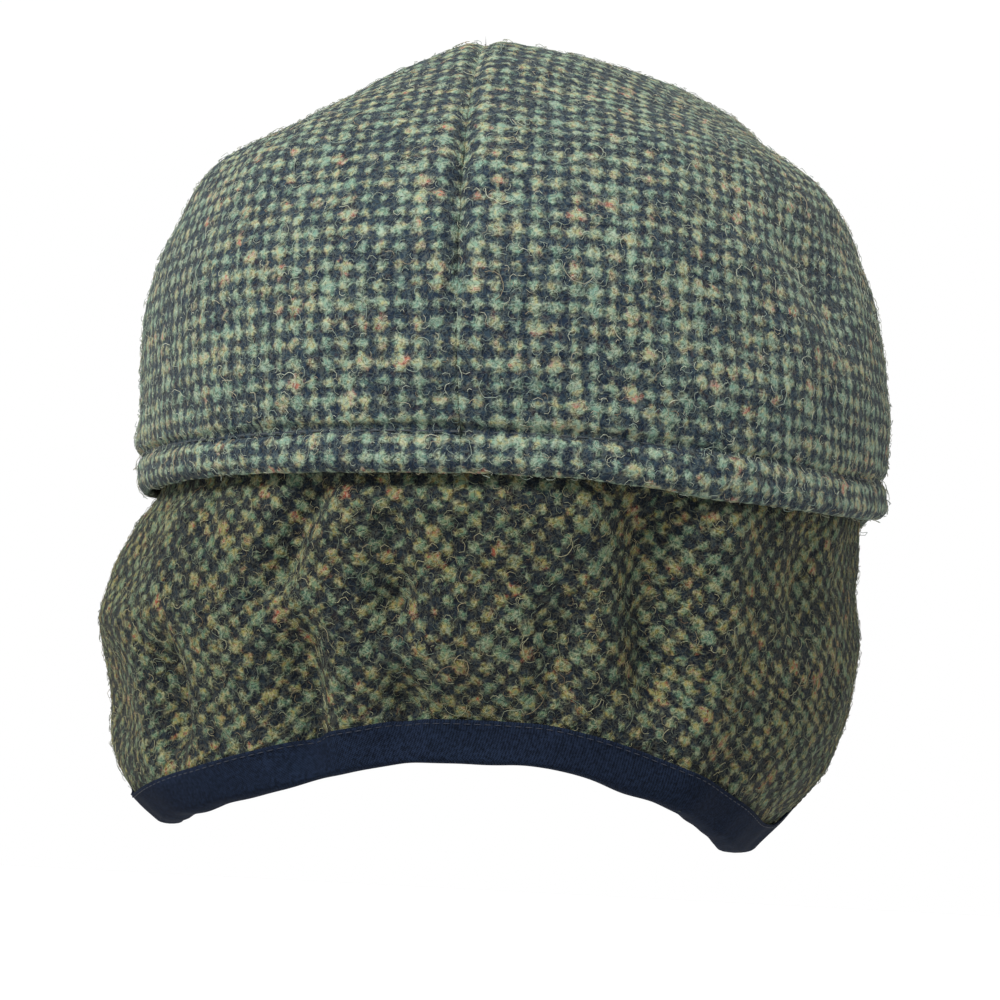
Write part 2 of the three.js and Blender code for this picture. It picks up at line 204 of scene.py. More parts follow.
@dataclass
class Cloth:
    """A closed piece of cloth, made of grids of points joined at their borders.

    Attributes:
        name: Name of the finished piece.
    """

    name: str

    def __post_init__(self) -> None:
        """Start with no points or faces."""
        self.count = 0
        self.points: list[Array] = []
        self.faces: list[Array] = []
        self.grain: list[Array] = []
        self.layers: list[Array] = []
        self.outside: list[Array] = []

    def add_grid(self, points: Array, grain: Array, layer: Layer, outside: Array, flip: bool) -> Array:
        """Add a grid of quads.

        Args:
            points: Positions in millimetres, rows by columns by 3.
            grain: Place on the flat cloth of each point, in millimetres, rows by columns by 2, or for
                each quad and corner, rows - 1 by columns - 1 by 4 by 2.
            layer: The side of the cloth that it shows.
            outside: How much loose wool grows on each point, 0 to 1.
            flip: Turn its faces over.

        Returns:
            The index of each point, rows by columns.
        """
        rows, columns = points.shape[:2]
        index = np.arange(rows * columns).reshape(rows, columns) + self.count
        quads = np.stack([index[:-1, :-1], index[:-1, 1:], index[1:, 1:], index[1:, :-1]], axis=2)
        if grain.ndim == 3:
            grain = np.stack([grain[:-1, :-1], grain[:-1, 1:], grain[1:, 1:], grain[1:, :-1]], axis=2)
        quads, grain = quads.reshape(-1, 4), grain.reshape(-1, 4, 2)
        if flip:
            quads, grain = quads[:, ::-1], grain[:, ::-1]
        self.points.append(points.reshape(-1, 3))
        self.outside.append(outside.reshape(-1))
        self.faces.append(quads)
        self.grain.append(grain)
        self.layers.append(np.full(len(quads), layer.value))
        self.count += rows * columns
        return index

    def add_inner_side(self, points: Array, flip: bool) -> Array:
        """Add the grid of the cloth's inner side, which has no pattern and no loose wool.

        Args:
            points: Positions in millimetres, rows by columns by 3.
            flip: Turn its faces over.

        Returns:
            The index of each point, rows by columns.
        """
        rows, columns = points.shape[:2]
        plain = np.zeros((rows, columns, 2))
        return self.add_grid(points, plain, Layer.REVERSE, plain[..., 0], flip)

    def join(self, one: Array, other: Array, flip: bool) -> None:
        """Close the strip between two lines of points, which may differ in number.

        Args:
            one: Indices of the first line.
            other: Indices of the second line, running the same way.
            flip: Turn its faces over.
        """
        faces = []
        i = j = 0
        never = 2.0
        while i < len(one) - 1 or j < len(other) - 1:
            step_one = (i + 1) / (len(one) - 1) if i < len(one) - 1 else never
            step_other = (j + 1) / (len(other) - 1) if j < len(other) - 1 else never
            if step_one <= step_other:
                faces.append((one[i], one[i + 1], other[j]))
                i += 1
            else:
                faces.append((one[i], other[j + 1], other[j]))
                j += 1
        strip = np.array(faces)
        if flip:
            strip = strip[:, ::-1]
        self.faces.append(strip)
        self.grain.append(np.zeros((len(strip), 3, 2)))
        self.layers.append(np.full(len(strip), Layer.REVERSE.value))

    def close(self, face: Array, back: Array, flip: bool) -> None:
        """Join the four borders of the cloth's two sides.

        Args:
            face: Indices of the outer side's grid.
            back: Indices of the inner side's grid, which runs the same way.
            flip: Whether the outer side's faces were turned over.
        """
        self.join(face[0], back[0], not flip)
        self.join(face[-1], back[-1], flip)
        self.join(face[:, 0], back[:, 0], flip)
        self.join(face[:, -1], back[:, -1], not flip)

    def finish(self, finishes: Sequence[bpy.types.Material]) -> bpy.types.Object:
        """Make the object, in metres, at the origin.

        Args:
            finishes: Materials for the cloth's face and its reverse.

        Returns:
            The finished object.
        """
        mesh = bpy.data.meshes.new(self.name)
        corners = np.concatenate([face.reshape(-1) for face in self.faces])
        sizes = np.concatenate([np.full(len(face), face.shape[1]) for face in self.faces])
        points = np.concatenate(self.points) * MM
        mesh.vertices.add(len(points))
        mesh.vertices.foreach_set("co", points.reshape(-1))
        mesh.loops.add(len(corners))
        mesh.loops.foreach_set("vertex_index", corners)
        mesh.polygons.add(len(sizes))
        mesh.polygons.foreach_set("loop_start", np.concatenate([[0], np.cumsum(sizes)[:-1]]))
        mesh.polygons.foreach_set("material_index", np.concatenate(self.layers))
        mesh.polygons.foreach_set("use_smooth", np.ones(len(sizes), bool))
        grain = mesh.uv_layers.new(name="grain")
        grain.data.foreach_set("uv", np.concatenate([g.reshape(-1) for g in self.grain]) / REPEAT)
        wool = mesh.attributes.new("outside", "FLOAT", "POINT")
        wool.data.foreach_set("value", np.concatenate(self.outside))
        mesh.update(calc_edges=True)
        mesh.validate()
        piece = bpy.data.objects.new(self.name, mesh)
        bpy.context.scene.collection.objects.link(piece)
        for finish in finishes:
            mesh.materials.append(finish)
        return piece


# ------------------------------------------------------------------ materials

MATH, VECTOR, MIX = "ShaderNodeMath", "ShaderNodeVectorMath", "ShaderNodeMix"
NOISE, RANGE, RAMP = "ShaderNodeTexNoise", "ShaderNodeMapRange", "ShaderNodeValToRGB"
SMOOTH = "SMOOTHSTEP"
UNDER, OVER = 6, 7  # numbers of a colour mix's two colours among its inputs
MIXED = 2  # number of a colour mix's result among its outputs


def linear(hex_colour: str) -> tuple[float, float, float, float]:
    """Turn an sRGB hex colour to linear RGBA.

    Args:
        hex_colour: Six hex digits.

    Returns:
        The linear colour, with alpha 1.
    """
    values = [int(hex_colour[i : i + 2], 16) / 255 for i in (0, 2, 4)]
    red, green, blue = (c / 12.92 if c <= 0.04045 else ((c + 0.055) / 1.055) ** 2.4 for c in values)
    return (red, green, blue, 1.0)


def add_node(
    tree: bpy.types.NodeTree,
    kind: str,
    inputs: Optional[dict[Union[int, str], Source]] = None,
    **settings: object,
) -> bpy.types.Node:
    """Add a node with its settings and its inputs.

    Args:
        tree: The tree that it goes in.
        kind: The node's type name.
        inputs: For an input's name or number, its value, the socket that feeds it, or the node whose
            first output feeds it.
        **settings: Properties of the node.

    Returns:
        The new node.
    """
    node = tree.nodes.new(kind)
    for key, value in settings.items():
        setattr(node, key, value)
    for key, value in (inputs or {}).items():
        if isinstance(value, bpy.types.Node):
            value = value.outputs[0]
        if isinstance(value, bpy.types.NodeSocket):
            tree.links.new(value, node.inputs[key])
        else:
            node.inputs[key].default_value = value
    return node


def new_material(name: str) -> tuple[bpy.types.Material, bpy.types.NodeTree]:
    """Make an empty material.

    Args:
        name: Its name.

    Returns:
        The material and its tree, with no nodes.
    """
    material = bpy.data.materials.new(name)
    material.use_nodes = True
    material.node_tree.nodes.clear()
    return material, material.node_tree


def set_surface(tree: bpy.types.NodeTree, inputs: dict[str, Source]) -> None:
    """Join a principled shader to the material's output."""
    shader = add_node(tree, "ShaderNodeBsdfPrincipled", inputs)
    add_node(tree, "ShaderNodeOutputMaterial", {"Surface": shader})


def colour_steps(node: bpy.types.Node, steps: Iterable[tuple[float, str]]) -> None:
    """Set a colour ramp's stops.

    Args:
        node: The colour ramp node.
        steps: Place and sRGB hex colour of each stop, in rising order.
    """
    ramp = node.color_ramp
    for i, (place, colour) in enumerate(steps):
        stop = ramp.elements[i] if i < 2 else ramp.elements.new(place)
        stop.position = place
        stop.color = linear(colour)


@dataclass(frozen=True)
class SpottedTweed:
    """Woollen tweed in a bird's-eye weave: fuzzy light spots of mixed colours on a dark navy ground.

    Attributes:
        name: Name of the material.
        ground: Colours of the dark ground: plain, lighter, and the rare warm one.
        yarns: Places and colours of the spots' yarns, with the rare ones at both ends.
        fibre: Colour of the light fibres that lie over the weave.
        contrast: How clearly the spots stand out.
        sheen: Strength of the soft glow that the fuzz gives at grazing angles.
        fuzz: Colour of that glow.
        haze: How much light fibre lies over the weave.
        relief: Height of the bump, in millimetres.
    """

    name: str
    ground: tuple[str, str, str]
    yarns: tuple[tuple[float, str], ...]
    fibre: str
    contrast: float
    sheen: float
    fuzz: str
    haze: float = 0.55
    relief: float = 0.6

    WANDER = (
        # size of the waves in millimetres, and how far they pull the yarns, in repeats
        (3.0, 0.68),
        (0.8, 0.42),
    )
    PATCH, TUFT, DYE = 7.0, 1.2, 1.4  # sizes in millimetres
    CURLS = (
        # shift of the pattern, size in millimetres, curl and width
        (0.0, 1.9, 0.8, 0.045),
        (0.6, 1.25, 0.6, 0.06),
        (0.9, 2.8, 1.4, 0.02),
    )
    GAPS = (0.3, 1.4, 0.7, 0.09)
    LATTICE = 0.45  # height of the two waves that set the spots
    FULLNESS = (0.9, 0.7, 1.7)  # shares of the patches, the spot's own chance and the tufts
    EDGE = (-0.42, 0.8)  # fullness at which the ground ends and the spot is whole
    CREST = (-0.2, 1.2, 0.85, 1.3)  # from this fullness to that, the painted shading goes from this to that: painted shade on a spot's edge, a painted highlight on its top
    SHADOW = 0.5  # how dark the painted shadow in the gaps between the fibres is
    STRANDS_ON_SPOT, STRANDS_ON_GROUND = 0.75, 0.25
    YARN_IN_STRAND = 0.35  # share of the yarn's own colour in the light fibres
    HEIGHTS = (0.35, -0.3, 0.8)  # of strands, gaps and tufts in the bump, where a spot's is 1
    BUMP = 0.6
    MATT, DULL_GLOSS, SOFT_GLOW = 0.95, 0.12, 0.45  # roughness, specular level, sheen roughness
    DRIFT = (0.25, 0.75)  # part of the noise that is spread over the whole range
    YARN_RANGE = (0.12, 0.9)  # the same for the yarns, so that the rare ones at both ends show
    PALER = (0.35, 0.7)
    WARMER = (0.58, 0.72, 0.0, 0.7)  # from this noise to that, and the shares that it gives

    def build(self) -> bpy.types.Material:
        """Make the material: woven wool, quite matt, which glows a little where it turns away.

        Returns:
            The material, which reads the piece's grain map.
        """
        material, tree = new_material(self.name)
        place = add_node(tree, "ShaderNodeTexCoord").outputs["Object"]
        waves, chance = self.weave(tree, place)
        # Some spots are fuller than others, in patches and one by one, and each has tufts of wool.
        patch, tuft = (
            add_node(tree, NOISE, {"Vector": place, "Scale": 1 / (size * MM), "Detail": 2.0})
            for size in (self.PATCH, self.TUFT)
        )
        full = waves
        for source, share in zip((patch, chance.outputs["Value"], tuft), self.FULLNESS):
            centred = add_node(tree, MATH, {0: source, 1: 0.5}, operation="SUBTRACT")
            full = add_node(tree, MATH, {0: centred, 1: share, 2: full}, operation="MULTIPLY_ADD")
        clear = self.contrast / 2
        steps = {0: full, 1: self.EDGE[0], 2: self.EDGE[1], 3: 0.5 - clear, 4: 0.5 + clear}
        mask = add_node(tree, RANGE, steps, interpolation_type=SMOOTH)
        colour, yarn = self.dyes(tree, place, mask, chance)
        # Curled fibres 0.2 mm thick lie over the weave, with painted shadow in the gaps between them.
        gaps = self.curls(tree, place, *self.GAPS)
        strands = self.curls(tree, place, *self.CURLS[0])
        for more in self.CURLS[1:]:
            both = {0: strands, 1: self.curls(tree, place, *more)}
            strands = add_node(tree, MATH, both, operation="MAXIMUM")
        # Painted shadow: the colour is darkened along the gaps between the fibres.
        dark = add_node(tree, MATH, {0: gaps, 1: -self.SHADOW, 2: 1.0}, operation="MULTIPLY_ADD")
        # Painted shade and highlight: each spot is darker at its edge and lighter on its top, as a lit
        # knot would be.
        steps = {0: full, **dict(enumerate(self.CREST, start=1))}
        crest = add_node(tree, RANGE, steps, interpolation_type=SMOOTH)
        shade = add_node(tree, MATH, {0: dark, 1: crest}, operation="MULTIPLY")
        grey = add_node(tree, "ShaderNodeCombineColor", {0: shade, 1: shade, 2: shade})
        both = {0: 1.0, UNDER: colour, OVER: grey}
        shaded = add_node(tree, MIX, both, data_type="RGBA", blend_type="MULTIPLY")
        shares = {0: mask, 1: self.STRANDS_ON_SPOT, 2: self.STRANDS_ON_GROUND}
        over = add_node(tree, MATH, shares, operation="MULTIPLY_ADD")
        seen = add_node(tree, MATH, {0: strands, 1: over}, operation="MULTIPLY")
        shown = add_node(tree, MATH, {0: seen, 1: self.haze}, operation="MULTIPLY")
        dyed = {0: self.YARN_IN_STRAND, UNDER: linear(self.fibre), OVER: yarn}
        strand = add_node(tree, MIX, dyed, data_type="RGBA")
        hazy = {0: shown, UNDER: shaded.outputs[MIXED], OVER: strand.outputs[MIXED]}
        hazed = add_node(tree, MIX, hazy, data_type="RGBA")
        height = mask
        for source, share in zip((strands, gaps, tuft), self.HEIGHTS):
            height = add_node(tree, MATH, {0: source, 1: share, 2: height}, operation="MULTIPLY_ADD")
        relief = {"Strength": self.BUMP, "Distance": self.relief * MM, "Height": height}
        set_surface(
            tree,
            {
                "Base Color": hazed.outputs[MIXED],
                "Roughness": self.MATT,
                "Specular IOR Level": self.DULL_GLOSS,
                "Sheen Weight": self.sheen,
                "Sheen Roughness": self.SOFT_GLOW,
                "Sheen Tint": linear(self.fuzz),
                "Normal": add_node(tree, "ShaderNodeBump", relief),
            },
        )
        return material

    def weave(self, tree: bpy.types.NodeTree, place: Source) -> tuple[bpy.types.Node, bpy.types.Node]:
        """Lay the spots: a square lattice whose yarns wander by half a millimetre.

        Args:
            tree: The material's tree.
            place: Position on the piece.

        Returns:
            The waves, highest on a spot's middle, and a chance that is the same all over a spot.
        """
        woven = add_node(tree, "ShaderNodeUVMap", uv_map="grain")
        for size, reach in self.WANDER:
            noise = add_node(tree, NOISE, {"Vector": place, "Scale": 1 / (size * MM), "Detail": 1.0})
            middle = {0: noise.outputs["Color"], 1: (0.5, 0.5, 0.5)}
            centred = add_node(tree, VECTOR, middle, operation="SUBTRACT")
            pull = add_node(tree, VECTOR, {0: centred, 1: (reach, reach, 0.0)}, operation="MULTIPLY")
            woven = add_node(tree, VECTOR, {0: woven, 1: pull}, operation="ADD")
        shifted = add_node(tree, VECTOR, {0: woven, 1: (0.5, 0.5, 0.0)}, operation="ADD")
        cell = add_node(tree, VECTOR, {0: shifted}, operation="FLOOR")
        chance = add_node(tree, "ShaderNodeTexWhiteNoise", {"Vector": cell}, noise_dimensions="2D")
        parts = add_node(tree, "ShaderNodeSeparateXYZ", {0: woven})
        turns = [
            add_node(tree, MATH, {0: parts.outputs[axis], 1: 2 * math.pi}, operation="MULTIPLY")
            for axis in (0, 1)
        ]
        waves = [add_node(tree, MATH, {0: turn}, operation="COSINE") for turn in turns]
        both = add_node(tree, MATH, {0: waves[0], 1: waves[1]}, operation="ADD")
        return add_node(tree, MATH, {0: both, 1: self.LATTICE}, operation="MULTIPLY"), chance

    def dyes(
        self, tree: bpy.types.NodeTree, place: Source, mask: Source, chance: bpy.types.Node
    ) -> tuple[bpy.types.NodeSocket, bpy.types.Node]:
        """Colour the spots and the ground. A spot's colour drifts within it and steps to the next.

        Args:
            tree: The material's tree.
            place: Position on the piece.
            mask: 1 on the spots and 0 on the ground.
            chance: The same all over a spot.

        Returns:
            The colour of the weave, and the yarn's colour alone.
        """
        drift = add_node(tree, NOISE, {"Vector": place, "Scale": 1 / (self.DYE * MM), "Detail": 1.5})
        parts = add_node(tree, "ShaderNodeSeparateColor", {0: drift.outputs["Color"]}).outputs
        steps = {0: parts["Red"], 1: self.DRIFT[0], 2: self.DRIFT[1]}
        own = add_node(tree, RANGE, steps, interpolation_type=SMOOTH)
        pick = add_node(tree, MIX, {0: 0.5, 2: own, 3: chance.outputs["Color"]}, data_type="FLOAT")
        steps = {0: pick, 1: self.YARN_RANGE[0], 2: self.YARN_RANGE[1]}
        spread = add_node(tree, RANGE, steps, interpolation_type=SMOOTH)
        yarn = add_node(tree, RAMP, {0: spread})
        colour_steps(yarn, self.yarns)
        deep, pale, warm = (linear(c) for c in self.ground)
        steps = {0: parts["Green"], 1: self.PALER[0], 2: self.PALER[1]}
        paler = add_node(tree, RANGE, steps, interpolation_type=SMOOTH)
        steps = {0: parts["Blue"], **dict(enumerate(self.WARMER, start=1))}
        warmer = add_node(tree, RANGE, steps, interpolation_type=SMOOTH)
        colour = deep
        for share, other in ((paler, pale), (warmer, warm), (mask, yarn)):
            mixed = add_node(tree, MIX, {0: share, UNDER: colour, OVER: other}, data_type="RGBA")
            colour = mixed.outputs[MIXED]
        return colour, yarn

    def curls(
        self, tree: bpy.types.NodeTree, place: Source, shift: float, size: float, curl: float, width: float
    ) -> bpy.types.Node:
        """Draw thin curled lines, as the level line of a distorted noise.

        Args:
            tree: The material's tree.
            place: Position on the piece.
            shift: Moves the pattern, so that each call draws other lines.
            size: Size of the noise, in millimetres.
            curl: How much it's distorted.
            width: Width of the line, in the noise's own terms.

        Returns:
            1 on a line and 0 off it.
        """
        at = add_node(tree, VECTOR, {0: place, 1: (shift, shift, shift)}, operation="ADD")
        lumps = {"Vector": at, "Scale": 1 / (size * MM), "Detail": 0.5, "Distortion": curl}
        centred = add_node(tree, MATH, {0: add_node(tree, NOISE, lumps), 1: 0.5}, operation="SUBTRACT")
        off = add_node(tree, MATH, {0: centred}, operation="ABSOLUTE")
        line = {0: off, 1: 0.0, 2: width, 3: 1.0, 4: 0.0}
        return add_node(tree, RANGE, line, interpolation_type=SMOOTH)


@dataclass(frozen=True)
class TweedReverse:
    """The tweed's reverse: the same wool, mixed to a plain dark grey-green.

    Attributes:
        name: Name of the material.
        tones: Its dark and light colour.
        mottle: Size of its mottling, as thick as a yarn, in millimetres.
    """

    name: str
    tones: tuple[str, str]
    mottle: float = 1.0

    TONES_AT = (0.36, 0.64)  # places of the two colours in the noise
    RELIEF = 0.3  # height of the bump, in millimetres

    def build(self) -> bpy.types.Material:
        """Make the material: matt wool with no pattern, only a mottled grey.

        Returns:
            The material.
        """
        material, tree = new_material(self.name)
        place = add_node(tree, "ShaderNodeTexCoord").outputs["Object"]
        lumps = {"Vector": place, "Scale": 1 / (self.mottle * MM), "Detail": 3.0, "Roughness": 0.7}
        mottle = add_node(tree, NOISE, lumps)
        ramp = add_node(tree, RAMP, {0: mottle})
        colour_steps(ramp, zip(self.TONES_AT, self.tones))
        relief = {"Strength": 0.6, "Distance": self.RELIEF * MM, "Height": mottle}
        set_surface(
            tree,
            {
                "Base Color": ramp,
                "Roughness": 0.95,
                "Specular IOR Level": 0.15,
                "Normal": add_node(tree, "ShaderNodeBump", relief),
            },
        )
        return material


@dataclass(frozen=True)
class CottonTape:
    """Finely woven navy cotton tape.

    Attributes:
        name: Name of the material.
        tones: Colour between the threads, and of the threads.
        thread: Spacing of the threads, in millimetres, drawn a little coarse so that it shows.
        slub: Size of the threads' unevenness, in millimetres.
    """

    name: str
    tones: tuple[str, str]
    thread: float
    slub: float = 0.7

    TONES_AT = (0.34, 0.68)  # places of the two colours in the weave's height
    THREADS = 0.18  # height of the threads, where the unevenness is 1
    RELIEF = 0.15  # height of the bump, in millimetres

    def build(self) -> bpy.types.Material:
        """Make the material: a plain weave that is dull, with fine ribs across the tape.

        Returns:
            The material, which reads the piece's grain map.
        """
        material, tree = new_material(self.name)
        grain = add_node(tree, "ShaderNodeUVMap", uv_map="grain")
        place = add_node(tree, "ShaderNodeTexCoord").outputs["Object"]
        parts = add_node(tree, "ShaderNodeSeparateXYZ", {0: grain}).outputs
        turn = 2 * math.pi * REPEAT / self.thread
        angles = [add_node(tree, MATH, {0: parts[i], 1: turn}, operation="MULTIPLY") for i in (0, 1)]
        waves = [add_node(tree, MATH, {0: angle}, operation="SINE") for angle in angles]
        weave = add_node(tree, MATH, {0: waves[0], 1: waves[1]}, operation="MULTIPLY")
        lumps = {"Vector": place, "Scale": 1 / (self.slub * MM), "Detail": 3.0, "Roughness": 0.7}
        slub = add_node(tree, NOISE, lumps)
        height = add_node(tree, MATH, {0: weave, 1: self.THREADS, 2: slub}, operation="MULTIPLY_ADD")
        ramp = add_node(tree, RAMP, {0: height})
        colour_steps(ramp, zip(self.TONES_AT, self.tones))
        relief = {"Strength": 0.5, "Distance": self.RELIEF * MM, "Height": height}
        set_surface(
            tree,
            {
                "Base Color": ramp,
                "Roughness": 0.95,
                "Specular IOR Level": 0.04,
                "Normal": add_node(tree, "ShaderNodeBump", relief),
            },
        )
        return material


@dataclass(frozen=True)
class LooseWool:
    """Single wool fibres that stand off the cloth, each with its own dyed colour.

    Attributes:
        name: Name of the material.
        dyes: Places and colours of the fibres, read by their own chance.
    """

    name: str
    dyes: tuple[tuple[float, str], ...]

    def build(self) -> bpy.types.Material:
        """Make the material: matt fibre, coloured by the piece's tint attribute.

        Returns:
            The material.
        """
        material, tree = new_material(self.name)
        tint = add_node(tree, "ShaderNodeAttribute", attribute_name="tint").outputs["Fac"]
        ramp = add_node(tree, RAMP, {0: tint})
        colour_steps(ramp, self.dyes)
        set_surface(tree, {"Base Color": ramp, "Roughness": 0.8, "Specular IOR Level": 0.25})
        return material


@dataclass(frozen=True)
class PlainFinish:
    """A plain matt finish, for thread and for the studio.

    Attributes:
        name: Name of the material.
        colour: Its sRGB hex colour.
        roughness: Its roughness.
    """

    name: str
    colour: str
    roughness: float

    def build(self) -> bpy.types.Material:
        """Make the material: one even colour with hardly any gloss.

        Returns:
            The material.
        """
        material, tree = new_material(self.name)
        set_surface(tree, {"Base Color": linear(self.colour), "Roughness": self.roughness})
        return material


# ------------------------------------------------------------------ shape of the cap


@dataclass(frozen=True)
class Outline:
    """A plan outline round the head opening.

    Attributes:
        left: Half width on the wearer's left.
        right: Half width on the wearer's right.
        mid: How far behind the origin its widest place is.
        back: Reach behind the origin.
        front: Reach in front of the origin.
        square: 2 is an ellipse, and more is boxier.
    """

    left: Union[float, Array]
    right: Union[float, Array]
    mid: Union[float, Array]
    back: Union[float, Array]
    front: Union[float, Array]
    square: Union[float, Array]

    def plan(self, half: Half, turn: Array) -> tuple[Array, Array]:
        """Find points of one half.

        Args:
            half: The side.
            turn: Angle in radians, 0 at the nape and pi at the front.

        Returns:
            Distance from the seam's plane, and Y.
        """
        cosine = np.cos(turn)
        power = 2 / self.square
        reach = np.where(cosine > 0, self.back - self.mid, self.front + self.mid)
        wide = self.left if half is Half.LEFT else self.right
        across = wide * np.abs(np.sin(turn)) ** power
        return across, self.mid + reach * np.sign(cosine) * np.abs(cosine) ** power


HEM = Outline(left=91.5, right=92.6, mid=-5, back=103, front=136.5, square=2.1)
HEM_LEVELS = (
    # y, left, right: height of the hem's under edge from the nape forwards
    (103, 0, 0),
    (82, -1.2, -2.4),
    (58, -1.8, -3.5),
    (30, -2.0, -2.8),
    (-5, -1.2, -0.4),
    (-50, -0.6, -0.4),
)
OVER_PEAK = (18, 48)
PIECE_GAP = 0.3
SEAM_GAP = 0.04


@dataclass
class Peak:
    """The stiff peak: a crescent of board covered with tweed, under the front of the crown.

    Attributes:
        name: Name of the piece.
        half_angle: How far it reaches round from the front, in degrees.
        inside: Outline of its inner edge, under the crown.
        outside: Outline of its rim.
        top: Height of its upper face at the inner edge, in the middle.
        droop: How far the rim hangs below that.
        droop_from: Where the droop begins, in front of the origin.
        arch: How far the sides hang below the middle.
        board: Its thickness.
        columns: Columns of points round the head.
        rows: Rows of points from the inner edge to the rim.
    """

    name: str = "peak_tweed"
    half_angle: float = 66
    inside: Outline = Outline(left=80, right=80, mid=0, back=0, front=101, square=2)
    outside: Outline = Outline(left=89, right=89, mid=0, back=0, front=166, square=2.25)
    top: float = 4.0
    droop: float = 17.0
    droop_from: float = 30
    arch: float = 7.0
    board: float = 4.6
    columns: int = 300
    rows: int = 66

    WEAVE = 0.2  # height of the weave's spots
    UNEVEN = 0.25
    LUMPS, LUMP_SEED = 22, 5
    RIM_POINTS = 11  # round the rolled rim
    FLAT_ENDS = 0.03  # share of the width over which the weave's relief ends
    SINK, SINK_AT_ENDS = 0.25, 0.1  # how far the face lies inside the board's outline

    def height(self, x: Array, y: Array) -> Array:
        """Height of the upper face over a point of the plan."""
        reach = (-y - self.droop_from) / (self.outside.front - self.droop_from)
        return self.top - self.droop * np.maximum(reach, 0) ** 2 - self.arch * (x / self.outside.left) ** 2

    def section(self) -> tuple[Array, int]:
        """Sweep the peak's section, over the top, round the rim and back underneath.

        Returns:
            The points of the smooth surface, and how many rows lie on top.
        """
        w = np.linspace(-1, 1, self.columns + 1)
        turn = math.pi - np.abs(w) * math.radians(self.half_angle)
        near, far = (np.stack(o.plan(Half.LEFT, turn), axis=1) for o in (self.inside, self.outside))
        for edge in (near, far):
            edge[:, 0] *= np.sign(w)
        out = unit(far - near)
        round_off = self.board / 2
        rim = far - out * round_off
        over = np.linspace(0, 1, self.rows)
        rolls = np.linspace(0, math.pi, self.RIM_POINTS)[1:-1]
        under = np.linspace(1, 0, self.rows // 3)
        plans = [near + (rim - near) * f for f in over]
        plans += [rim + out * round_off * math.sin(a) for a in rolls]
        plans += [near + (rim - near) * f for f in under]
        drops = [0.0] * len(over) + [round_off * (1 - math.cos(a)) for a in rolls]
        drops += [self.board] * len(under)
        plan = np.stack(plans)
        x, y = plan[..., 0], plan[..., 1]
        return np.stack([x, y, self.height(x, y) - np.array(drops)[:, None]], axis=2), len(over)

    def build(self, finishes: Sequence[bpy.types.Material]) -> bpy.types.Object:
        """Make the peak.

        Args:
            finishes: Materials for the cloth's face and its reverse.

        Returns:
            The finished piece.
        """
        base, top_rows = self.section()
        across = lengths_along(base, 0)
        grain = base[..., :2].copy()
        last = top_rows - 1
        grain[top_rows:, :, 1] = base[last, :, 1] - (across[top_rows:] - across[last])
        normal = grid_normals(base)
        if (normal * (base - base.mean(axis=(0, 1)))).sum() < 0:
            normal = -normal
        ends = smooth_step(0, self.FLAT_ENDS, 1 - np.abs(np.linspace(-1, 1, self.columns + 1)))
        uneven = self.UNEVEN * soft_noise(base, self.LUMPS, self.LUMP_SEED)
        lift = (self.WEAVE * spots(grain) + uneven) * ends
        lift -= self.SINK + self.SINK_AT_ENDS * (1 - ends)
        points = base + normal * lift[..., None]
        cloth = Cloth(self.name)
        flip = bool(np.cross(points[0, 1] - points[0, 0], points[1, 0] - points[0, 0])[2] < 0)
        index = cloth.add_grid(points, grain, Layer.FACE, np.ones(across.shape), flip)
        cloth.join(index[0], index[-1], not flip)
        seam = top_rows + (len(index) - top_rows - self.rows // 3) // 2
        for column, turned in ((0, flip), (-1, not flip)):
            cloth.join(index[: seam + 1, column], index[seam:, column][::-1], turned)
        return settle(cloth.finish(finishes), "peak")


PEAK = Peak()


def hem_height(half: Half, x: Array, y: Array) -> Array:
    """Height of the crown's under edge: a dip behind the ears, and over the peak in front.

    Args:
        half: The side.
        x: Distance from the seam's plane.
        y: Y of each place.

    Returns:
        The height at each place.
    """
    keys, left, right = zip(*HEM_LEVELS)
    over_peak = smooth_step(OVER_PEAK[0], OVER_PEAK[1], -y)
    dip = read_table(keys, left if half is Half.LEFT else right, y)
    return dip * (1 - over_peak) + (PEAK.height(x, y) + PIECE_GAP) * over_peak


